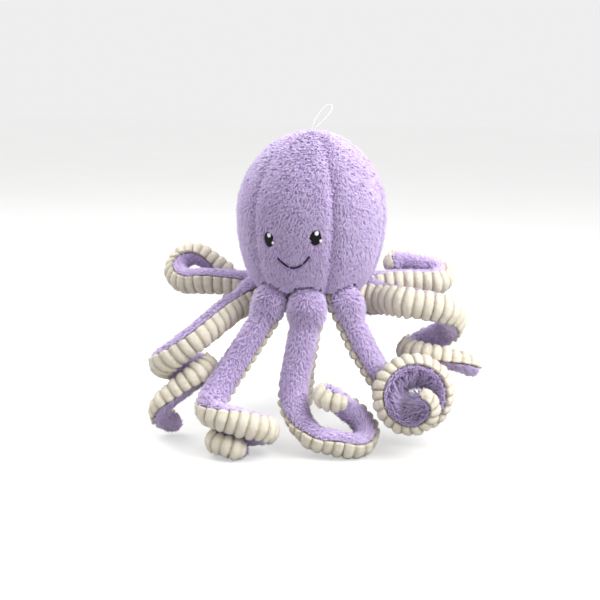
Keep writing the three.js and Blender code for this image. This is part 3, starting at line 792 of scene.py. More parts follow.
# %% Tubes
FLOOR_FLAT = 0.5
LANDINGS = 6
LOOK_STEP, LOOK_TURN = 4, 12


class Tube:
    """A tentacle as a function: points of its section at any distance and angle, in the toy's frame.
    Angle 90 is the middle of the fur, 270 the middle of the ribs, and the side seams lie between."""

    def __init__(self, name, lie):
        self.name = name
        azimuth = math.radians(RING_TURN + lie["slot"] * 360 / TENTACLES)
        turn = azimuth - math.pi / 2
        cosine, sine = math.cos(turn), math.sin(turn)
        self.spin = np.array([[cosine, -sine, 0], [sine, cosine, 0], [0, 0, 1]])
        self.root = roots[name]
        self.up = lie["centre"][2]
        self.read(lie)
        if lie["stands"]:
            for _ in range(LANDINGS):
                self.up -= self.lowest() + FLOOR_FLAT
                self.read(lie)

    def read(self, lie):
        self.points, self.tangents, self.fur, self.lengths = middle_line(lie, self.up)
        self.length = self.lengths[-1]

    def at(self, s):
        """Middle points, tangents and fur directions at distances s, straight before the root."""
        inside = np.maximum(s, 0)

        def read(field):
            return np.stack([np.interp(inside, self.lengths, field[:, i]) for i in range(3)], -1)

        tangents = unit(read(self.tangents))
        fur = read(self.fur)
        fur = unit(fur - tangents * np.einsum("ij,ij->i", fur, tangents)[:, None])
        middle = read(self.points) + tangents * np.minimum(s, 0)[:, None]
        return (v @ self.spin.T for v in (middle, tangents, fur))

    def surface(self, s, angles, inset=0.0, shift=0.0, slim=0.0):
        """A grid of points: one row per distance, one column per angle in degrees. Inset goes in from
        all sides, and slim from the two seams only."""
        middle, tangents, fur = self.at(s)
        side = np.cross(tangents, fur)
        half_width, half_thickness = half_sizes(s, self.length)
        inset = np.broadcast_to(inset, (len(s), len(angles)))
        turn = np.radians(angles)
        out = (half_width[:, None] - np.reshape(slim, (-1, 1)) - inset) * np.cos(turn)
        over = (half_thickness[:, None] - inset) * np.sin(turn) + shift * SEAM_GAP / 2
        grid = middle[:, None] + side[:, None] * out[..., None] + fur[:, None] * over[..., None]
        return grid + self.root

    def lowest(self):
        grid = self.surface(np.arange(0, self.length, LOOK_STEP), np.arange(0, 360, LOOK_TURN))
        return grid.reshape(-1, 3)[:, 2].min()


print("each tube that stands is lowered", LANDINGS, "times until it rests on the floor")

# %% The eight tentacles
tubes = {name: Tube(name, lie) for name, lie in LIES.items()}
for tube in tubes.values():
    print(tube.name, "tentacle is", round(tube.length), "mm long")

# %% [markdown]
# ## Fur strips
#
# The strip covers a little more than the upper half of the tube. Its pile is combed towards the tip
# and outwards at both seams, where it falls over the seam and hides the stitches. The ground is real
# cloth with an inside, so its rings run out along the outer face and back along the inner one.

# %% Stations along a tube
SLIM = 2.6
SLIM_FROM, SLIM_OVER = 14, 18
SLIM_MOST = 0.3
TIP_END = 0.3
BALL_STATIONS = [-0.97, -0.85, -0.65, -0.4]
TIP_STATIONS = [0.75, 0.5, 0.25, 0.1]


def stations(tube, step):
    """Distances along a tube, closer together on the ball of its root and on its rounded tip."""
    ball = np.array(BALL_STATIONS) * ROOT_BALL
    tip = tube.length - TIP_ROUND * np.array(TIP_STATIONS)
    run = np.linspace(0, tube.length - TIP_ROUND, int((tube.length - TIP_ROUND) / step))
    return np.concatenate([ball, run, tip, [tube.length - TIP_END]])


def slimming(s, length):
    """How far the cloth lies inside its solid at the seams: none at the root's ball."""
    grown = smooth((s - SLIM_FROM) / SLIM_OVER) * SLIM
    return np.minimum(grown, half_sizes(s, length)[0] * SLIM_MOST)


print("stations 10 mm apart on the front tentacle:", len(stations(tubes["front"], 10)))

# %% Pile of a fur strip
FUR_ANGLES = np.linspace(-SEAM_DROP, 180 + SEAM_DROP, 19)
FUR_STEP = 3.5
LOCK_SPACING = 1.5
LOCK_LENGTH = 6.0
OUTWARD = 0.65
PUFF_PLACE, PUFF_REACH, PUFF_HEIGHT = 12, 11, 2.8
PINCH_PLACE, PINCH_REACH, PINCH_DEPTH = 29, 6, 0.9
ROOT_FLUFF = 0.45
ROOT_RISE = 14
CURL_FROM, CURL_OVER = 0.35, 0.25
CURL_FLUFF = {"front_right": 2.5}
PLAIN_FLUFF = 0.15
SHAGGY_RISE = 28
EDGE_TRIM = 0.3
EDGE_ANGLE = 22


def strip_locks(tube, s, outer, normals):
    """Locks that fluff up at the root and inside the curl, and are trimmed along the seams."""
    read = scatter(outer, LOCK_SPACING)
    lean = (FUR_ANGLES - 90) / (90 + SEAM_DROP)
    round_way = unit(np.gradient(outer, axis=1))
    comb = unit(np.gradient(outer, axis=0)) + round_way * (lean * OUTWARD)[None, :, None]
    from_edge = (1 - np.abs(lean)) * (90 + SEAM_DROP) / EDGE_ANGLE
    distance, inner_share, trimmed = (read(np.broadcast_to(field, outer.shape[:2])) for field in (
        s[:, None], smooth(from_edge / 2), 1 - EDGE_TRIM * (1 - smooth(from_edge))))
    near_root = hump(distance, PUFF_PLACE, PUFF_REACH)
    curl_fluff = CURL_FLUFF.get(tube.name, PLAIN_FLUFF)
    in_curl = smooth((distance / tube.length - CURL_FROM) / CURL_OVER) * inner_share
    fluff = (1 + ROOT_FLUFF * near_root + curl_fluff * in_curl) * trimmed
    rise = LOCK_RISE + ROOT_RISE * near_root + SHAGGY_RISE * in_curl * (curl_fluff > PLAIN_FLUFF)
    return grow_locks(read(outer), unit(read(normals)), read(comb), LOCK_LENGTH * fluff, rise)


print("a lock stands", LOCK_RISE, "degrees, and", LOCK_RISE + ROOT_RISE, "at the root of a tentacle")

# %% Fur strips
SKIN_SINK = 1.5
FUR_SHARE = 0.35


def make_fur_strip(tube):
    s = stations(tube, FUR_STEP)
    half = half_sizes(s, tube.length)[1]
    wall = np.minimum(FUR_CLOTH, half * FUR_SHARE)[:, None]
    sink = np.minimum(SKIN_SINK, wall)
    slim = slimming(s, tube.length)
    puff = PUFF_HEIGHT * hump(s, PUFF_PLACE, PUFF_REACH) - PINCH_DEPTH * hump(s, PINCH_PLACE, PINCH_REACH)
    outer = tube.surface(s, FUR_ANGLES, sink - puff[:, None], 1, slim)
    inner = tube.surface(s, FUR_ANGLES[::3], wall + sink * 0.5, 1, slim)
    points, faces = loft(cloth_rings(outer, inner))
    normals = grid_normals(outer, tube.surface(s, [90], half[:, None]))
    piece = fur_piece(f"{tube.name}_fur", points, faces, strip_locks(tube, s, outer, normals))
    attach(piece, f"{tube.name}_tentacle")
    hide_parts(f"{tube.name}_fur_strip")


for tube in tubes.values():
    make_fur_strip(tube)

# %% [markdown]
# ## Ribbed velour
#
# The underside is cut from wide-wale plush: short cream velour that stands in round ribs across the
# strip, about 12 mm apart, with a narrow groove between them where the ground knit shows. Ribs this
# wide are real geometry. Velour is matt, with a pale bloom where it is seen edge-on. The grooves, and
# the ribs' ends where they roll into the seams, get painted shade: a greyer, warmer, darker colour
# than the crowns.

# %% Velour material
VELOUR_PILE = 2.0
VELOUR_PATCH = 9
VELOUR_RELIEF = 1.0


def velour_material():
    material, tree, shader = new_material(
        "cream_ribbed_velour", Roughness=0.88, IOR=1.49, Specular_IOR_Level=0.1,
        Sheen_Weight=0.4, Sheen_Roughness=0.45, Sheen_Tint=linear("#FFFBF2"))
    place = add_node(tree, "ShaderNodeTexCoord")
    crown = add_node(tree, "ShaderNodeAttribute", {"attribute_name": "crown"})
    nap = add_node(tree, "ShaderNodeTexNoise", Vector=place.outputs["Object"],
                   Scale=1 / (VELOUR_PATCH * MM), Detail=5.0, Roughness=0.65)
    patches = add_node(tree, "ShaderNodeMath", {"operation": "MULTIPLY_ADD", "use_clamp": True},
                       _0=nap.outputs["Fac"], _1=PATCH_SHARE, _2=-PATCH_SHARE / 2)
    level = add_node(tree, "ShaderNodeMath", {"operation": "ADD", "use_clamp": True},
                     _0=crown.outputs["Fac"], _1=patches.outputs[0])
    ramp = add_node(tree, "ShaderNodeValToRGB", Fac=level.outputs[0])
    # Low crown values are painted shade, in the grooves and where the ribs roll into the seams.
    set_stops(ramp, [(0.0, "#7F6E58"), (0.4, "#C4BAA6"), (0.95, "#DDD6C7")])
    pile = add_node(tree, "ShaderNodeTexNoise", Vector=place.outputs["Object"], Scale=1 / (VELOUR_PILE * MM),
                    Detail=2.0, Roughness=0.7)
    bump = add_node(tree, "ShaderNodeBump", Height=pile.outputs["Fac"], Strength=0.8,
                    Distance=VELOUR_RELIEF * MM)
    tree.links.new(ramp.outputs["Color"], shader.inputs["Base Color"])
    tree.links.new(bump.outputs["Normal"], shader.inputs["Normal"])
    return material


velour = velour_material()
print("material", velour.name, "with a pile of", VELOUR_PILE, "mm")

# %% The nap
NAP_SPACING = 1.45
NAP_LENGTH = 1.6
NAP_WIDTH = 0.8
NAP_SINK = 0.3
NAP_TILT = 0.75
NAP_WIDTHS = (0.7, 1.3)
NAP_LENGTHS = (0.5, 1.2)
NAP_SOFTNESS = 0.8
TIP_PAINTED_LIGHT = 0.12
NAP_UNEVEN = 0.15


def nap_mesh(root, normal, crown):
    """Short three-sided spikes of pile: points, faces, normals and the field crown, four points each."""
    count = len(root)
    lean = unit(normal + rng.normal(0, NAP_TILT, root.shape))
    side = unit(np.cross(lean, rng.normal(0, 1, root.shape)))
    over = np.cross(lean, side)
    turns = full_turn(LOCK_SIDES)
    width = (NAP_WIDTH / 2 * rng.uniform(*NAP_WIDTHS, count))[:, None, None]
    around = side[:, None] * np.cos(turns)[:, None] + over[:, None] * np.sin(turns)[:, None]
    foot = root - normal * NAP_SINK
    tip = foot + lean * (NAP_LENGTH * rng.uniform(*NAP_LENGTHS, count))[:, None]
    points = np.concatenate([foot[:, None] + around * width, tip[:, None]], axis=1)
    soft = unit(np.concatenate([around * NAP_SOFTNESS + normal[:, None],
                                (lean * NAP_SOFTNESS + normal)[:, None]], axis=1))
    k = np.arange(LOCK_SIDES)
    sides = np.stack([k, (k + 1) % LOCK_SIDES, np.full(LOCK_SIDES, LOCK_SIDES)], -1)
    faces = (sides + (np.arange(count) * (LOCK_SIDES + 1))[:, None, None]).reshape(-1, 3)
    # The spikes' tips are painted paler: painted light on the ends of the pile.
    tip_light = np.array([0.0] * LOCK_SIDES + [TIP_PAINTED_LIGHT])
    field = crown[:, None] + tip_light + rng.normal(0, NAP_UNEVEN, (count, 1))
    return points.reshape(-1, 3), faces, soft.reshape(-1, 3), field.ravel()


print("the nap is", NAP_LENGTH, "mm long, one spike every", NAP_SPACING, "mm")

# %% Laying out the nap's map
NAP_TOP = 0.5
LID_SPOT = 0.98
LID_REACH = 0.015
SKIN_END = LID_SPOT - 2 * LID_REACH
LID_LEVELS = (0.25, 0.75)
SPIKE_CELL = ([0.0, 1.0, 0.5], [0.0, 0.0, 1.0])


def lay_out_nap(mesh, rows, around, spikes):
    """The strip's own map: the ribbed skin below, unrolled, and a table of spikes above it."""
    vertex = read_all(mesh.loops, "vertex_index")
    uv = np.zeros((len(vertex), 2))
    quads = vertex[:(rows - 1) * around * 4].reshape(-1, 4)
    row, column = np.divmod(quads, around)
    column = np.where((column == 0) & (column.max(1) > 1)[:, None], around, column)
    uv[:quads.size, 0] = (row / (rows - 1) * SKIN_END).ravel()
    uv[:quads.size, 1] = (column / around * NAP_TOP).ravel()
    turn = full_turn(around)
    for n, level in enumerate(LID_LEVELS):
        first = quads.size + n * around
        uv[first:first + around, 0] = LID_SPOT + LID_REACH * np.cos(turn)
        uv[first:first + around, 1] = NAP_TOP * level + LID_REACH * np.sin(turn)
    lay_out_cells(uv, quads.size + 2 * around, spikes, [SPIKE_CELL], NAP_TOP, 1 - NAP_TOP)
    write_map(mesh, uv)


print("the ribbed skin takes", NAP_TOP, "of its map")

# %% The shape of the ribs
RIB_PITCH = 11.6
RIB_HEIGHT = 4.3
RIB_FLATNESS = 2.3
RIB_SWELL = (0.85, 1.15)
OUTSIDE_SHARE, MIDDLE_SHARE = 0.7, 0.3
END_BULGE = 0.35
END_PLACE, END_REACH = 9, 9
RIB_STEP = 0.9
RIB_LUMPS = 0.45
LUMP_ROWS = 5
RIB_ANGLES = np.linspace(180 + SEAM_DROP, 360 - SEAM_DROP, 17)
SEAM_ROLL = 7.0
THIN_END = 9


def rib_relief(tube, s):
    """Over a grid: how high the ribbed cloth stands and how much of it is crown. Then the ribs' count.
    Their pitch is measured mostly along the outside of the bend, where the cloth is stretched."""
    run = run_along(tube.surface(s, [270])[:, 0])
    phase = (OUTSIDE_SHARE * run + MIDDLE_SHARE * (s - s[0])) / RIB_PITCH
    rib, place = np.floor(phase).astype(int), phase % 1
    swell = rng.uniform(*RIB_SWELL, rib.max() + 1)[rib]
    crown = np.sqrt(np.maximum(1 - np.abs(2 * place - 1) ** RIB_FLATNESS, 0)) * swell
    from_seam = np.minimum(RIB_ANGLES - RIB_ANGLES[0], RIB_ANGLES[-1] - RIB_ANGLES)
    ends = np.sqrt(np.clip(1 - (1 - np.clip(from_seam / SEAM_ROLL, 0, 1)) ** 2, 0, 1))
    bulge = 1 + END_BULGE * hump(from_seam, END_PLACE, END_REACH)
    shrink = np.clip(half_sizes(s, tube.length)[1] / THIN_END, 0, 1)
    lumps = rng.normal(0, 1, (len(s) + LUMP_ROWS - 1, len(RIB_ANGLES)))
    lumps = sum(lumps[n:n + len(s)] for n in range(LUMP_ROWS)) / LUMP_ROWS
    height = (crown[:, None] * RIB_HEIGHT * bulge + lumps * RIB_LUMPS) * ends[None] * shrink[:, None]
    # The crown field also sets the colour: it falls to painted shade in the grooves and at the seams.
    return height, crown[:, None] * ends[None] + np.zeros_like(height), int(phase[-1])


print("ribs are", RIB_PITCH, "mm apart and", RIB_HEIGHT, "mm high")

# %% Ribbed strips
RIB_SINK, SINK_SHARE = 3.1, 0.3
RIB_BACK, BACK_SHARE = 3.9, 0.4


def make_ribbed_strip(tube):
    s = stations(tube, RIB_STEP)
    height, top, count = rib_relief(tube, s)
    half = half_sizes(s, tube.length)[1]
    sink = np.minimum(RIB_SINK, half * SINK_SHARE)[:, None]
    wall = np.minimum(RIB_BACK, half * BACK_SHARE)[:, None]
    slim = slimming(s, tube.length)
    outer = tube.surface(s, RIB_ANGLES, sink - height, -1, slim)
    inner = tube.surface(s, RIB_ANGLES[::4], wall, -1, slim)
    rings = cloth_rings(outer, inner)
    points, faces = loft(rings)
    field = np.concatenate([top, np.zeros(inner.shape[:2])], axis=1).ravel()
    normals = grid_normals(outer, tube.surface(s, [270], half[:, None]))
    read = scatter(outer, NAP_SPACING)
    nap_points, nap_faces, soft, nap_field = nap_mesh(read(outer), unit(read(normals)), read(top))
    piece = new_piece(f"{tube.name}_ribs", on_floor(np.concatenate([points, nap_points])),
                      [*faces, nap_faces + len(points)], [velour],
                      {"crown": np.clip(np.concatenate([field, nap_field]), 0, 1)})
    lay_out_nap(piece.data, len(s), rings.shape[1], len(nap_faces) // LOCK_SIDES)
    set_soft_normals(piece.data, len(points), soft)
    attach(piece, f"{tube.name}_tentacle")
    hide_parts(f"{tube.name}_ribbed_strip")
    print(tube.name, "has", count, "ribs")


for tube in tubes.values():
    make_ribbed_strip(tube)

# %% [markdown]
# ## Fillings
#
# The stuffing is loose polyester fibre, white and springy. It never shows, but the toy is soft
# because of it, so each filling is its own closed body inside its cloth.

# %% Tentacle fillings
fibre = fibrous("polyester_fibre", 4, "#E4E4E2", "#FAFAF8", 1.0, 0.8, 6.0, 1.5,
                Roughness=0.9, Sheen_Weight=0.3)
FILL_ANGLES = np.arange(0, 360, 20)
FILL_STEP = 6
FILL_GAP = 2.6
FILL_MOST = 0.5


def make_filling(tube):
    s = stations(tube, FILL_STEP)[1:-2]
    wall = np.minimum(RIBBED_CLOTH + FILL_GAP, half_sizes(s, tube.length)[1] * FILL_MOST)[:, None]
    points, faces = loft(on_floor(tube.surface(s, FILL_ANGLES, wall, 0, slimming(s, tube.length))))
    piece = new_piece(f"{tube.name}_stuffing", points, faces, [fibre])
    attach(piece, f"{tube.name}_tentacle")
    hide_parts(f"{tube.name}_filling")


for tube in tubes.values():
    make_filling(tube)
print("tentacles filled:", len(tubes))

# %% [markdown]
# ## The head
#
# Six gores run from the crown to the neck: a wide one for the face and five equal ones. Cloth pulls
# in at a seam and swells between seams, so each gore is a little pillow. Their lower edges are cut
# in arches over the roots of the tentacles.

# %% Head shape
HEAD_WIDTH = 169
HEAD_SINK = 8
CHEEK_HEIGHT = 83
CHEEK_DROP = 128
CROWN_HEIGHT = 97
CROWN_HOLE = 3.2
NECK = RING_HEIGHT + ROOT_BALL - HEAD_SINK
GORES = 6
FACE_GORE = 65
ARCH_RADIUS = 21.5
ROOT_RADIUS = (2 * ROOT_BALL + 2.9) / (2 * math.sin(math.pi / TENTACLES))


def head_radius(z):
    low = np.sqrt(np.maximum(1 - ((CHEEK_HEIGHT - z) / CHEEK_DROP) ** 2, 0))
    high = np.sqrt(np.maximum(1 - ((z - CHEEK_HEIGHT) / CROWN_HEIGHT) ** 2, 0))
    return HEAD_WIDTH / 2 * np.where(z < CHEEK_HEIGHT, low, high)


def head_point(azimuth, z, inset=0.0, dip=0.0):
    """Points of the head at azimuths in degrees and heights above the neck line, moved inwards."""
    step = 0.5
    slope = (head_radius(z + step) - head_radius(z - step)) / (2 * step)
    scale = inset / np.hypot(1, slope)
    r = head_radius(z) - scale - dip
    a = np.radians(azimuth)
    return np.stack([axis_xy[0] + r * np.sin(a), axis_xy[1] - r * np.cos(a), z + scale * slope + NECK], -1)


def arch(azimuth):
    """How far the gores' lower edge rises over the roots, at these azimuths."""
    spots = RING_TURN + np.arange(TENTACLES) * 360 / TENTACLES
    turn = np.radians((azimuth[..., None] - spots + 180) % 360 - 180)
    side = ROOT_RADIUS * np.sin(turn)
    rise = np.sqrt(np.maximum(ARCH_RADIUS ** 2 - side ** 2, 0)) * (np.cos(turn) > 0)
    return np.maximum(rise.max(-1) - (NECK - RING_HEIGHT), 0)


print("neck at", round(NECK, 1), "mm, crown at", round(NECK + CHEEK_HEIGHT + CROWN_HEIGHT, 1), "mm")


# %% The surface of a gore
GORE_ROWS = 44
SEAM_DEPTH = 5.0
SEAM_REACH = 7.0
SEAM_SHADE = 2.6
PIT_LEVEL, PIT_SWING = 0.6, 0.4
PIT_PITCH = 1.7
PIT_DRIFT = 9
BRUSHED_OVER, BRUSHED_REACH = 0.65, 12
CROWN_SINK = 3.2
CROWN_CALM = 40
crown_edge = math.acos(CROWN_HOLE / (HEAD_WIDTH / 2))
crown_top = CHEEK_HEIGHT + CROWN_HEIGHT * math.sin(crown_edge)


def head_level(v):
    """Heights on the head's outline from its foot, v = 0, to the edge of the crown, v = 1."""
    low = math.asin(CHEEK_HEIGHT / CHEEK_DROP)
    angle = -low + v * (low + crown_edge)
    return np.where(angle < 0, CHEEK_HEIGHT + CHEEK_DROP * np.sin(angle),
                    CHEEK_HEIGHT + CROWN_HEIGHT * np.sin(angle))


def gore_grid(start, width, inset, columns, sink=0.0):
    """A grid of points, how much each is in the shade of a seam, and its height above the foot."""
    t = np.linspace(0, 1, columns)
    level = head_level(np.linspace(0, 1, GORE_ROWS))
    azimuth = np.broadcast_to(start + width * t, (GORE_ROWS, columns))
    foot = arch(azimuth)
    z = foot + level[:, None] * (crown_top - foot) / crown_top
    r = head_radius(z)
    from_seam = np.minimum(t, 1 - t)[None] * math.radians(width) * r
    parted = 1 - BRUSHED_OVER * hump(azimuth, -FACE_GORE / 2, BRUSHED_REACH)
    dip = SEAM_DEPTH * parted * hump(from_seam, 0, SEAM_REACH) * np.minimum(r / CROWN_CALM, 1)
    sink = sink + CROWN_SINK * smooth((z - CHEEK_HEIGHT) / CROWN_HEIGHT)
    # The seam's painted shade comes and goes along it, for the dark pits between tufts.
    pit_shade = PIT_LEVEL + PIT_SWING * np.sin(z / PIT_PITCH + 2 * np.sin(z / PIT_DRIFT))
    return head_point(azimuth, z, inset + sink, dip), parted * pit_shade * hump(from_seam, 0, SEAM_SHADE), z - foot


print("the crown's edge is", round(crown_top, 1), "mm above the neck")

# %% Gores
GORE_NAMES = ["face", "right_front", "right_back", "back", "left_back", "left_front"]
GORE_COLUMNS = 27
GORE_SINK = 0.4
HEAD_LOCK = 6.8
HEAD_SPACING = 1.35
SEAM_SHORTER = 0.5
SEAM_PAINTED_SHADE = 1.6
FOOT_TRIM = 12
FOOT_SHARE = 0.75
FOOT_RISE = 14


def make_gore(name, start, width):
    outer, seam_shade, above_foot = gore_grid(start, width, 0.0, GORE_COLUMNS, GORE_SINK)
    inner = gore_grid(start, width, FUR_CLOTH, GORE_COLUMNS // 3)[0]
    points, faces = loft(cloth_rings(outer, inner))
    normals = grid_normals(outer, [*axis_xy, NECK + CHEEK_HEIGHT])
    read = scatter(outer, HEAD_SPACING)
    down = -unit(np.gradient(outer, axis=0))
    near_seam = read(seam_shade)
    grown = smooth(read(above_foot) / FOOT_TRIM)
    length = HEAD_LOCK * (1 - SEAM_SHORTER * near_seam) * (FOOT_SHARE + (1 - FOOT_SHARE) * grown)
    rise = FOOT_RISE + (LOCK_RISE - FOOT_RISE) * grown
    locks = grow_locks(read(outer), unit(read(normals)), read(down), length, rise)
    # Painted shade in the seams' creases: locks near a seam are coloured darker.
    locks["tone"] = locks["tone"] - SEAM_PAINTED_SHADE * near_seam
    if name == "face":
        clear = clear_of_face(locks)
        locks = {key: part[clear] for key, part in locks.items()}
    piece = fur_piece(f"head_{name}_fur", points, faces, locks)
    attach(piece, "head")
    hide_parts(f"head_{name}_gore")


print("gores to sew:", len(GORE_NAMES))


# %% [markdown]
# ## Where the face is
#
# Embroidery presses the pile flat, so no lock may start under an eye or the smile, and none may fall
# far over one. The face is laid out flat, in millimetres across and up from its middle, tilted a
# little, and then wrapped round the head.

# %% Face layout
EYE_WIDTH = 13.5
EYE_HEIGHT = 16.5
EYE_ANGLE = 18.7
EYE_LEVEL = 63
BIG_GLINT = 4.6
SMALL_GLINT = 3.2
SMILE_WIDTH = 38
SMILE_SAG = 12
SMILE_LEVEL = 42
SMILE_THREAD = 2
FACE_TILT = math.radians(5)
SMILE_MARKS = 41
face_radius = float(head_radius(np.array(EYE_LEVEL)))
eye_reach = math.radians(EYE_ANGLE) * face_radius
eye_spots = {"right": (-eye_reach, 0.0), "left": (eye_reach, 0.0)}


def face_point(across, up_, lift):
    """A point of the head from its place on the flat face, lifted off the cloth."""
    turned = across * math.cos(FACE_TILT) - up_ * math.sin(FACE_TILT)
    raised = across * math.sin(FACE_TILT) + up_ * math.cos(FACE_TILT)
    return head_point(np.degrees(turned / face_radius), EYE_LEVEL + raised, -np.asarray(lift))


def on_face(points):
    """The reverse: the place on the flat face under points near the head."""
    x, y = points[:, 0] - axis_xy[0], points[:, 1] - axis_xy[1]
    turned = np.arctan2(x, -y) * face_radius
    raised = points[:, 2] - NECK - EYE_LEVEL
    return (turned * math.cos(FACE_TILT) + raised * math.sin(FACE_TILT),
            raised * math.cos(FACE_TILT) - turned * math.sin(FACE_TILT))


def smile_line(t):
    return t * SMILE_WIDTH / 2, SMILE_LEVEL - EYE_LEVEL - SMILE_SAG * (1 - t * t)


smile_marks = np.stack(smile_line(np.linspace(-1, 1, SMILE_MARKS)), -1)
print("eyes", round(2 * eye_reach, 1), "mm apart, smile", SMILE_WIDTH, "mm wide")

# %% Keeping the face clear
EYE_MARGIN, EYE_OVERHANG = 0.6, 1.4
SMILE_MARGIN, SMILE_OVERHANG = 1.9, 0.65
MARGINS = {
    "start": (EYE_MARGIN, SMILE_MARGIN),
    "knee": (-EYE_OVERHANG / 2, SMILE_MARGIN * SMILE_OVERHANG),
    "tip": (-EYE_OVERHANG, SMILE_MARGIN * SMILE_OVERHANG),
}


def clear_of_face(locks):
    """True for locks that leave the eyes and the smile in sight."""
    keep = np.ones(len(locks["start"]), bool)
    for part, (eye_margin, smile_margin) in MARGINS.items():
        x, y = on_face(locks[part])
        for ex, ey in eye_spots.values():
            across = (x - ex) / (EYE_WIDTH / 2 + eye_margin)
            upward = (y - ey) / (EYE_HEIGHT / 2 + eye_margin)
            keep &= across ** 2 + upward ** 2 > 1
        gap = np.hypot(x[:, None] - smile_marks[:, 0], y[:, None] - smile_marks[:, 1]).min(1)
        keep &= gap > smile_margin
    return keep


for n, name in enumerate(GORE_NAMES):
    share = FACE_GORE if n == 0 else (360 - FACE_GORE) / (GORES - 1)
    begin = -FACE_GORE / 2 if n == 0 else FACE_GORE / 2 + (n - 1) * share
    make_gore(name, begin, share)

# %% [markdown]
# ## Inside and under the head
#
# The head's filling is one egg of fibre. Under the neck a round of the same fur cloth closes the head
# inside the ring of tentacles; its pile is short, because it was sheared for sewing.

# %% Head filling
HEAD_FILL_INSET = 7.0
HEAD_FILL_ROWS = 30
HEAD_FILL_TURN = 9.0
HEAD_FILL_FOOT = 12


def make_head_filling():
    z = head_level(np.linspace(0, 1, HEAD_FILL_ROWS))
    z = HEAD_FILL_FOOT + z * (crown_top - HEAD_FILL_FOOT) / crown_top
    turns = np.arange(0, 360, HEAD_FILL_TURN)
    azimuth = np.broadcast_to(turns, (HEAD_FILL_ROWS, len(turns)))
    grid = head_point(azimuth, np.broadcast_to(z[:, None], azimuth.shape), HEAD_FILL_INSET)
    points, faces = loft(grid)
    piece = new_piece("head_stuffing", points, faces, [fibre])
    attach(piece, "head")
    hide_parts("head_filling")


make_head_filling()
print("head filled")

# %% Base panel
PANEL_RADIUS = 60
PANEL_SAG = 3.0
PANEL_RINGS, PANEL_TURN = 16, 7.5
PANEL_LOCK = 4.5
PANEL_SPREAD = (0.7, 1.1)


def make_base_panel():
    r = np.linspace(1, PANEL_RADIUS, PANEL_RINGS)
    a = np.radians(np.arange(0, 360, PANEL_TURN))
    sag = PANEL_SAG * (1 - (r / PANEL_RADIUS) ** 2)
    x = axis_xy[0] + np.outer(r, np.cos(a))
    y = axis_xy[1] + np.outer(r, np.sin(a))
    under = np.stack([x, y, np.broadcast_to((NECK - sag)[:, None], x.shape)], -1)
    over = under + [0, 0, FUR_CLOTH]
    points, faces = loft(np.concatenate([under, over[::-1]], axis=0))
    closed = np.concatenate([under, under[:, :1]], axis=1)
    root = scatter(closed, LOCK_SPACING)(closed)
    normal = np.broadcast_to(np.array([0, 0, -1.0]), root.shape)
    comb = rng.normal(0, 1, root.shape)
    locks = grow_locks(root, normal, comb, PANEL_LOCK, spread=PANEL_SPREAD)
    piece = fur_piece("base_panel_fur", points, faces, locks)
    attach(piece, "head")
    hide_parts("base_panel")


make_base_panel()

# %% [markdown]
# ## Embroidery thread
#
# Eyes, glints and smile are rayon thread, which is smooth and keeps a soft shine along its length.
# An eye is satin stitch: threads laid side by side over a small pad, so it is domed and its threads
# show as fine ribs. The smile is one line of stem stitch, which looks like a twisted rope.

# %% Thread materials
RAYON = dict(grain=0.5, relief=0.1, strength=0.4, Roughness=0.4, IOR=1.45, Anisotropic=0.5,
             Specular_IOR_Level=0.3)
black_thread = fibrous("black_rayon_thread", dark="#040305", pale="#0C0A0D", **RAYON)
white_thread = fibrous("white_rayon_thread", dark="#E9E9EC", pale="#FCFCFD", **RAYON)

# %% Tubes along a path
SIDE_HINT = np.array([0.31, 0.17, 0.94])


def tube_rings(path, radius, sides, plies=0, twist=0.0, depth=0.0):
    """Rings of a tube along a path. With plies, its skin is furrowed like a twisted cord's.
    SIDE_HINT only says where a ring begins: any direction does that no path here runs along."""
    tangents = unit(np.gradient(path, axis=0))
    frames = [squared(SIDE_HINT, tangents[0])]
    for tangent in tangents[1:]:
        frames.append(squared(frames[-1], tangent))
    frames = np.array(frames)
    other = np.cross(tangents, frames)
    run = run_along(path)
    turn = full_turn(sides)
    radius = np.broadcast_to(radius, (len(path),))[:, None] * np.ones(sides)
    if plies:
        wave = np.abs(np.cos(plies / 2 * turn[None] - run[:, None] * math.pi / twist))
        radius = radius * (1 - depth + depth * wave)
    return (path[:, None] + frames[:, None] * (radius * np.cos(turn))[..., None]
            + other[:, None] * (radius * np.sin(turn))[..., None])


straight = np.array([(0, 0, z) for z in range(3)], float)
print("rings, sides and coordinates of a straight tube:", tube_rings(straight, 1, 6).shape)

# %% Satin-stitched ovals
THREAD_PITCH = 0.46
THREAD_RADIUS = 0.6
THREAD_POINTS, THREAD_SIDES = 11, 6
THREAD_SLANT = 0.15
THREAD_DIVE = 1.2
PAD_RISE = 1.0
DOME_ACROSS, DOME_UP = 0.75, 0.25


def satin_oval(name, node, centre, half_width, half_height, lift, material):
    """Threads laid side by side over a pad. Both ends of a thread dive into the cloth."""
    points, faces, first = [], [], 0
    t = np.linspace(-1, 1, THREAD_POINTS)
    dive = np.where(np.abs(t) == 1, -THREAD_DIVE, 0)
    for y in np.arange(-half_height + THREAD_PITCH / 2, half_height, THREAD_PITCH):
        half = half_width * math.sqrt(1 - (y / half_height) ** 2)
        fallen = DOME_ACROSS * (t * half / half_width) ** 2
        dome = PAD_RISE * np.sqrt(np.maximum(1 - fallen - DOME_UP * (y / half_height) ** 2, 0))
        path = face_point(centre[0] + t * half, centre[1] + y + THREAD_SLANT * t,
                          lift + dome - PAD_RISE + dive)
        body, some = loft(tube_rings(path, THREAD_PITCH * THREAD_RADIUS, THREAD_SIDES))
        points.append(body)
        faces.append([f + first for f in some])
        first += len(body)
    stacked = [np.concatenate(kind) for kind in zip(*faces)]
    piece = new_piece(name, np.concatenate(points), stacked, [material])
    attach(piece, "head")
    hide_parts(node)
    print(name, "has", len(points), "threads")


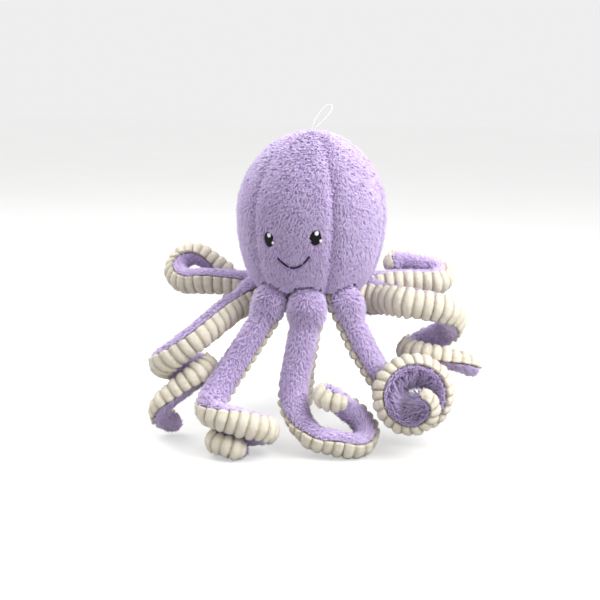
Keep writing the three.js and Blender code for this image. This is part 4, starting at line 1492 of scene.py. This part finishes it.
# %% Eyes and glints
EYE_LIFT = 1.2
GLINT_LIFT = 1.0
GLINTS = {"large_glint": (0.12, 0.3, BIG_GLINT), "small_glint": (0.42, -0.22, SMALL_GLINT)}
for side_name, (ex, ey) in eye_spots.items():
    satin_oval(f"{side_name}_eye_stitches", f"{side_name}_eye", (ex, ey), EYE_WIDTH / 2, EYE_HEIGHT / 2,
               EYE_LIFT, black_thread)
    for label, (across, upward, size) in GLINTS.items():
        spot = (ex + across * EYE_WIDTH, ey + upward * EYE_HEIGHT)
        satin_oval(f"{side_name}_eye_{label}_stitches", f"{side_name}_eye_{label}", spot, size / 2, size / 2,
                   EYE_LIFT + GLINT_LIFT, white_thread)

# %% Stem-stitched smile
STITCH_LENGTH, STITCH_DEPTH = 3.2, 0.3
SMILE_POINTS = 120
TWIST_SIDES, TWIST_PLIES = 12, 2
smile_path = face_point(*smile_line(np.linspace(-1, 1, SMILE_POINTS)), SMILE_THREAD / 2)
points, faces = loft(tube_rings(smile_path, SMILE_THREAD / 2, TWIST_SIDES, TWIST_PLIES, STITCH_LENGTH,
                                STITCH_DEPTH))
smile = new_piece("smile_stitches", points, faces, [black_thread])
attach(smile, "head")
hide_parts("smile")
print("smile is", round(run_along(smile_path)[-1], 1), "mm of stitches")

# %% [markdown]
# ## The hanging cord
#
# A thin white cord comes out of the crown, leans over to the right in one loop and goes back in. It
# holds its shape because it is a tightly twisted nylon cord. It follows the same listed points
# as its solid, on one smooth curve.

# %% The cord's route
LOOP_CORD = 1.2
LOOP_FOOT = 1.5
LOOP_RISE = 0.6
foot_height = CHEEK_HEIGHT + CROWN_HEIGHT - FUR_CLOTH + LOOP_RISE
LOOP_ROUTE = [
    (-LOOP_FOOT, 0, 0), (-LOOP_FOOT, 0, 4), (0, 0, 9), (3.5, 1, 16), (9, 2, 24.5), (14, 3, 29),
    (18.4, 4, 30.6), (20.4, 4.6, 28.6), (19.6, 4.4, 24.5), (16, 3.4, 18.5), (10.6, 2.2, 12),
    (5.6, 1, 7), (LOOP_FOOT + 0.7, 0.2, 3.4), (LOOP_FOOT, 0, 0),
]


def centripetal(knots, per_span):
    """A smooth curve through the knots that doesn't overshoot where they lie close together."""
    knots = np.array(knots, float)
    knots = np.concatenate([[2 * knots[0] - knots[1]], knots, [2 * knots[-1] - knots[-2]]])
    path = []
    for n in range(1, len(knots) - 2):
        p = knots[n - 1:n + 3]
        t = np.concatenate([[0], np.cumsum(np.linalg.norm(np.diff(p, axis=0), axis=1) ** 0.5)])
        at = np.linspace(t[1], t[2], per_span, endpoint=False)[:, None]
        level = [((t[i + 1] - at) * p[i] + (at - t[i]) * p[i + 1]) / (t[i + 1] - t[i])
                 for i in range(3)]
        level = [((t[i + 2] - at) * level[i] + (at - t[i]) * level[i + 1]) / (t[i + 2] - t[i])
                 for i in range(2)]
        path.append(((t[2] - at) * level[0] + (at - t[1]) * level[1]) / (t[2] - t[1]))
    return np.concatenate([*path, knots[-2:-1]])


loop_path = centripetal(LOOP_ROUTE, 10) + [*axis_xy, NECK + foot_height]
print("the cord's route has", len(LOOP_ROUTE), "points by hand and", len(loop_path), "in all")

# %% Cord
CORD_TWIST, CORD_DEPTH = 2.4, 0.16
nylon = fibrous("white_nylon_cord", 0.4, "#DDDBE2", "#F7F6FA", 0.1, 0.4,
                Roughness=0.38, IOR=1.53, Sheen_Weight=0.15)
points, faces = loft(tube_rings(loop_path, LOOP_CORD / 2, TWIST_SIDES, TWIST_PLIES, CORD_TWIST,
                                CORD_DEPTH))
cord = new_piece("hanging_cord", points, faces, [nylon])
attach(cord, "head")
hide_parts("hang_loop")

# %% [markdown]
# ## Floor, light and view
#
# A plain pale floor, a soft key lamp from the upper right, a weaker one from the left, and an even
# white world. For the rays that show them to the eye, the floor and the world get a pale level of
# their own, so that the backdrop is bright and the light on the toy stays soft.

# %% Floor
FLOOR_SIZE = 20
FLOOR_GLOW = 0.46
FLOOR_MOTTLE = 3.0


def looked_at(tree):
    """1 for the rays that show a surface to the eye, straight, mirrored or through glass."""
    path = add_node(tree, "ShaderNodeLightPath")
    either = add_node(tree, "ShaderNodeMath", {"operation": "MAXIMUM"},
                      _0=path.outputs["Is Camera Ray"], _1=path.outputs["Is Glossy Ray"])
    return add_node(tree, "ShaderNodeMath", {"operation": "MAXIMUM"},
                    _0=either.outputs[0], _1=path.outputs["Is Transmission Ray"]).outputs[0]


def floor_material():
    material, tree, shader = new_material("pale_floor", Roughness=0.85)
    place = add_node(tree, "ShaderNodeTexCoord")
    mottle = add_node(tree, "ShaderNodeTexNoise", Vector=place.outputs["Object"],
                      Scale=FLOOR_MOTTLE, Detail=3.0)
    ramp = add_node(tree, "ShaderNodeValToRGB", Fac=mottle.outputs["Fac"])
    set_stops(ramp, [(0.0, "#AEAEAD"), (1.0, "#B4B4B3")])
    tree.links.new(ramp.outputs["Color"], shader.inputs["Base Color"])
    glow = add_node(tree, "ShaderNodeMath", {"operation": "MULTIPLY"}, _0=looked_at(tree), _1=FLOOR_GLOW)
    shader.inputs["Emission Color"].default_value = linear("#FFFFFF")
    tree.links.new(glow.outputs[0], shader.inputs["Emission Strength"])
    return material


half_floor = FLOOR_SIZE / 2 / MM
corners = np.array([(-half_floor, -half_floor, 0), (half_floor, -half_floor, 0),
                    (half_floor, half_floor, 0), (-half_floor, half_floor, 0)])
floor = new_piece("floor", corners, [np.array([[0, 1, 2, 3]])], [floor_material()])
print("floor", FLOOR_SIZE, "m across")

# %% World
WORLD_LIGHT = 0.78
WORLD_SHOWN = 0.86
world = bpy.data.worlds.new("soft_white")
scene.world = world
world.use_nodes = True
sky = world.node_tree
strength = add_node(sky, "ShaderNodeMapRange", Value=looked_at(sky),
                    To_Min=WORLD_LIGHT, To_Max=WORLD_SHOWN)
background = sky.nodes["Background"]
background.inputs["Color"].default_value = linear("#FFFFFF")
sky.links.new(strength.outputs["Result"], background.inputs["Strength"])
print("world gives", WORLD_LIGHT, "and shows", WORLD_SHOWN)

# %% Lamps
KEY_POWER = 56
FILL_SHARE = 0.6
LAMP_SIZE = 1.8
LAMP_AIM = Vector((0, 0, 0.2))


def soft_lamp(name, place, power):
    lamp = bpy.data.lights.new(name, "AREA")
    lamp.shape = "DISK"
    lamp.size = LAMP_SIZE
    lamp.energy = power
    item = bpy.data.objects.new(name, lamp)
    scene.collection.objects.link(item)
    item.location = place
    item.rotation_euler = (LAMP_AIM - Vector(place)).to_track_quat("-Z", "Y").to_euler()


soft_lamp("key", (1.4, -0.25, 1.6), KEY_POWER)
soft_lamp("fill", (-1.3, 0.2, 1.8), KEY_POWER * FILL_SHARE)
scene.view_settings.view_transform = "Standard"
print("lamps", KEY_POWER, "and", round(KEY_POWER * FILL_SHARE, 1), "W")
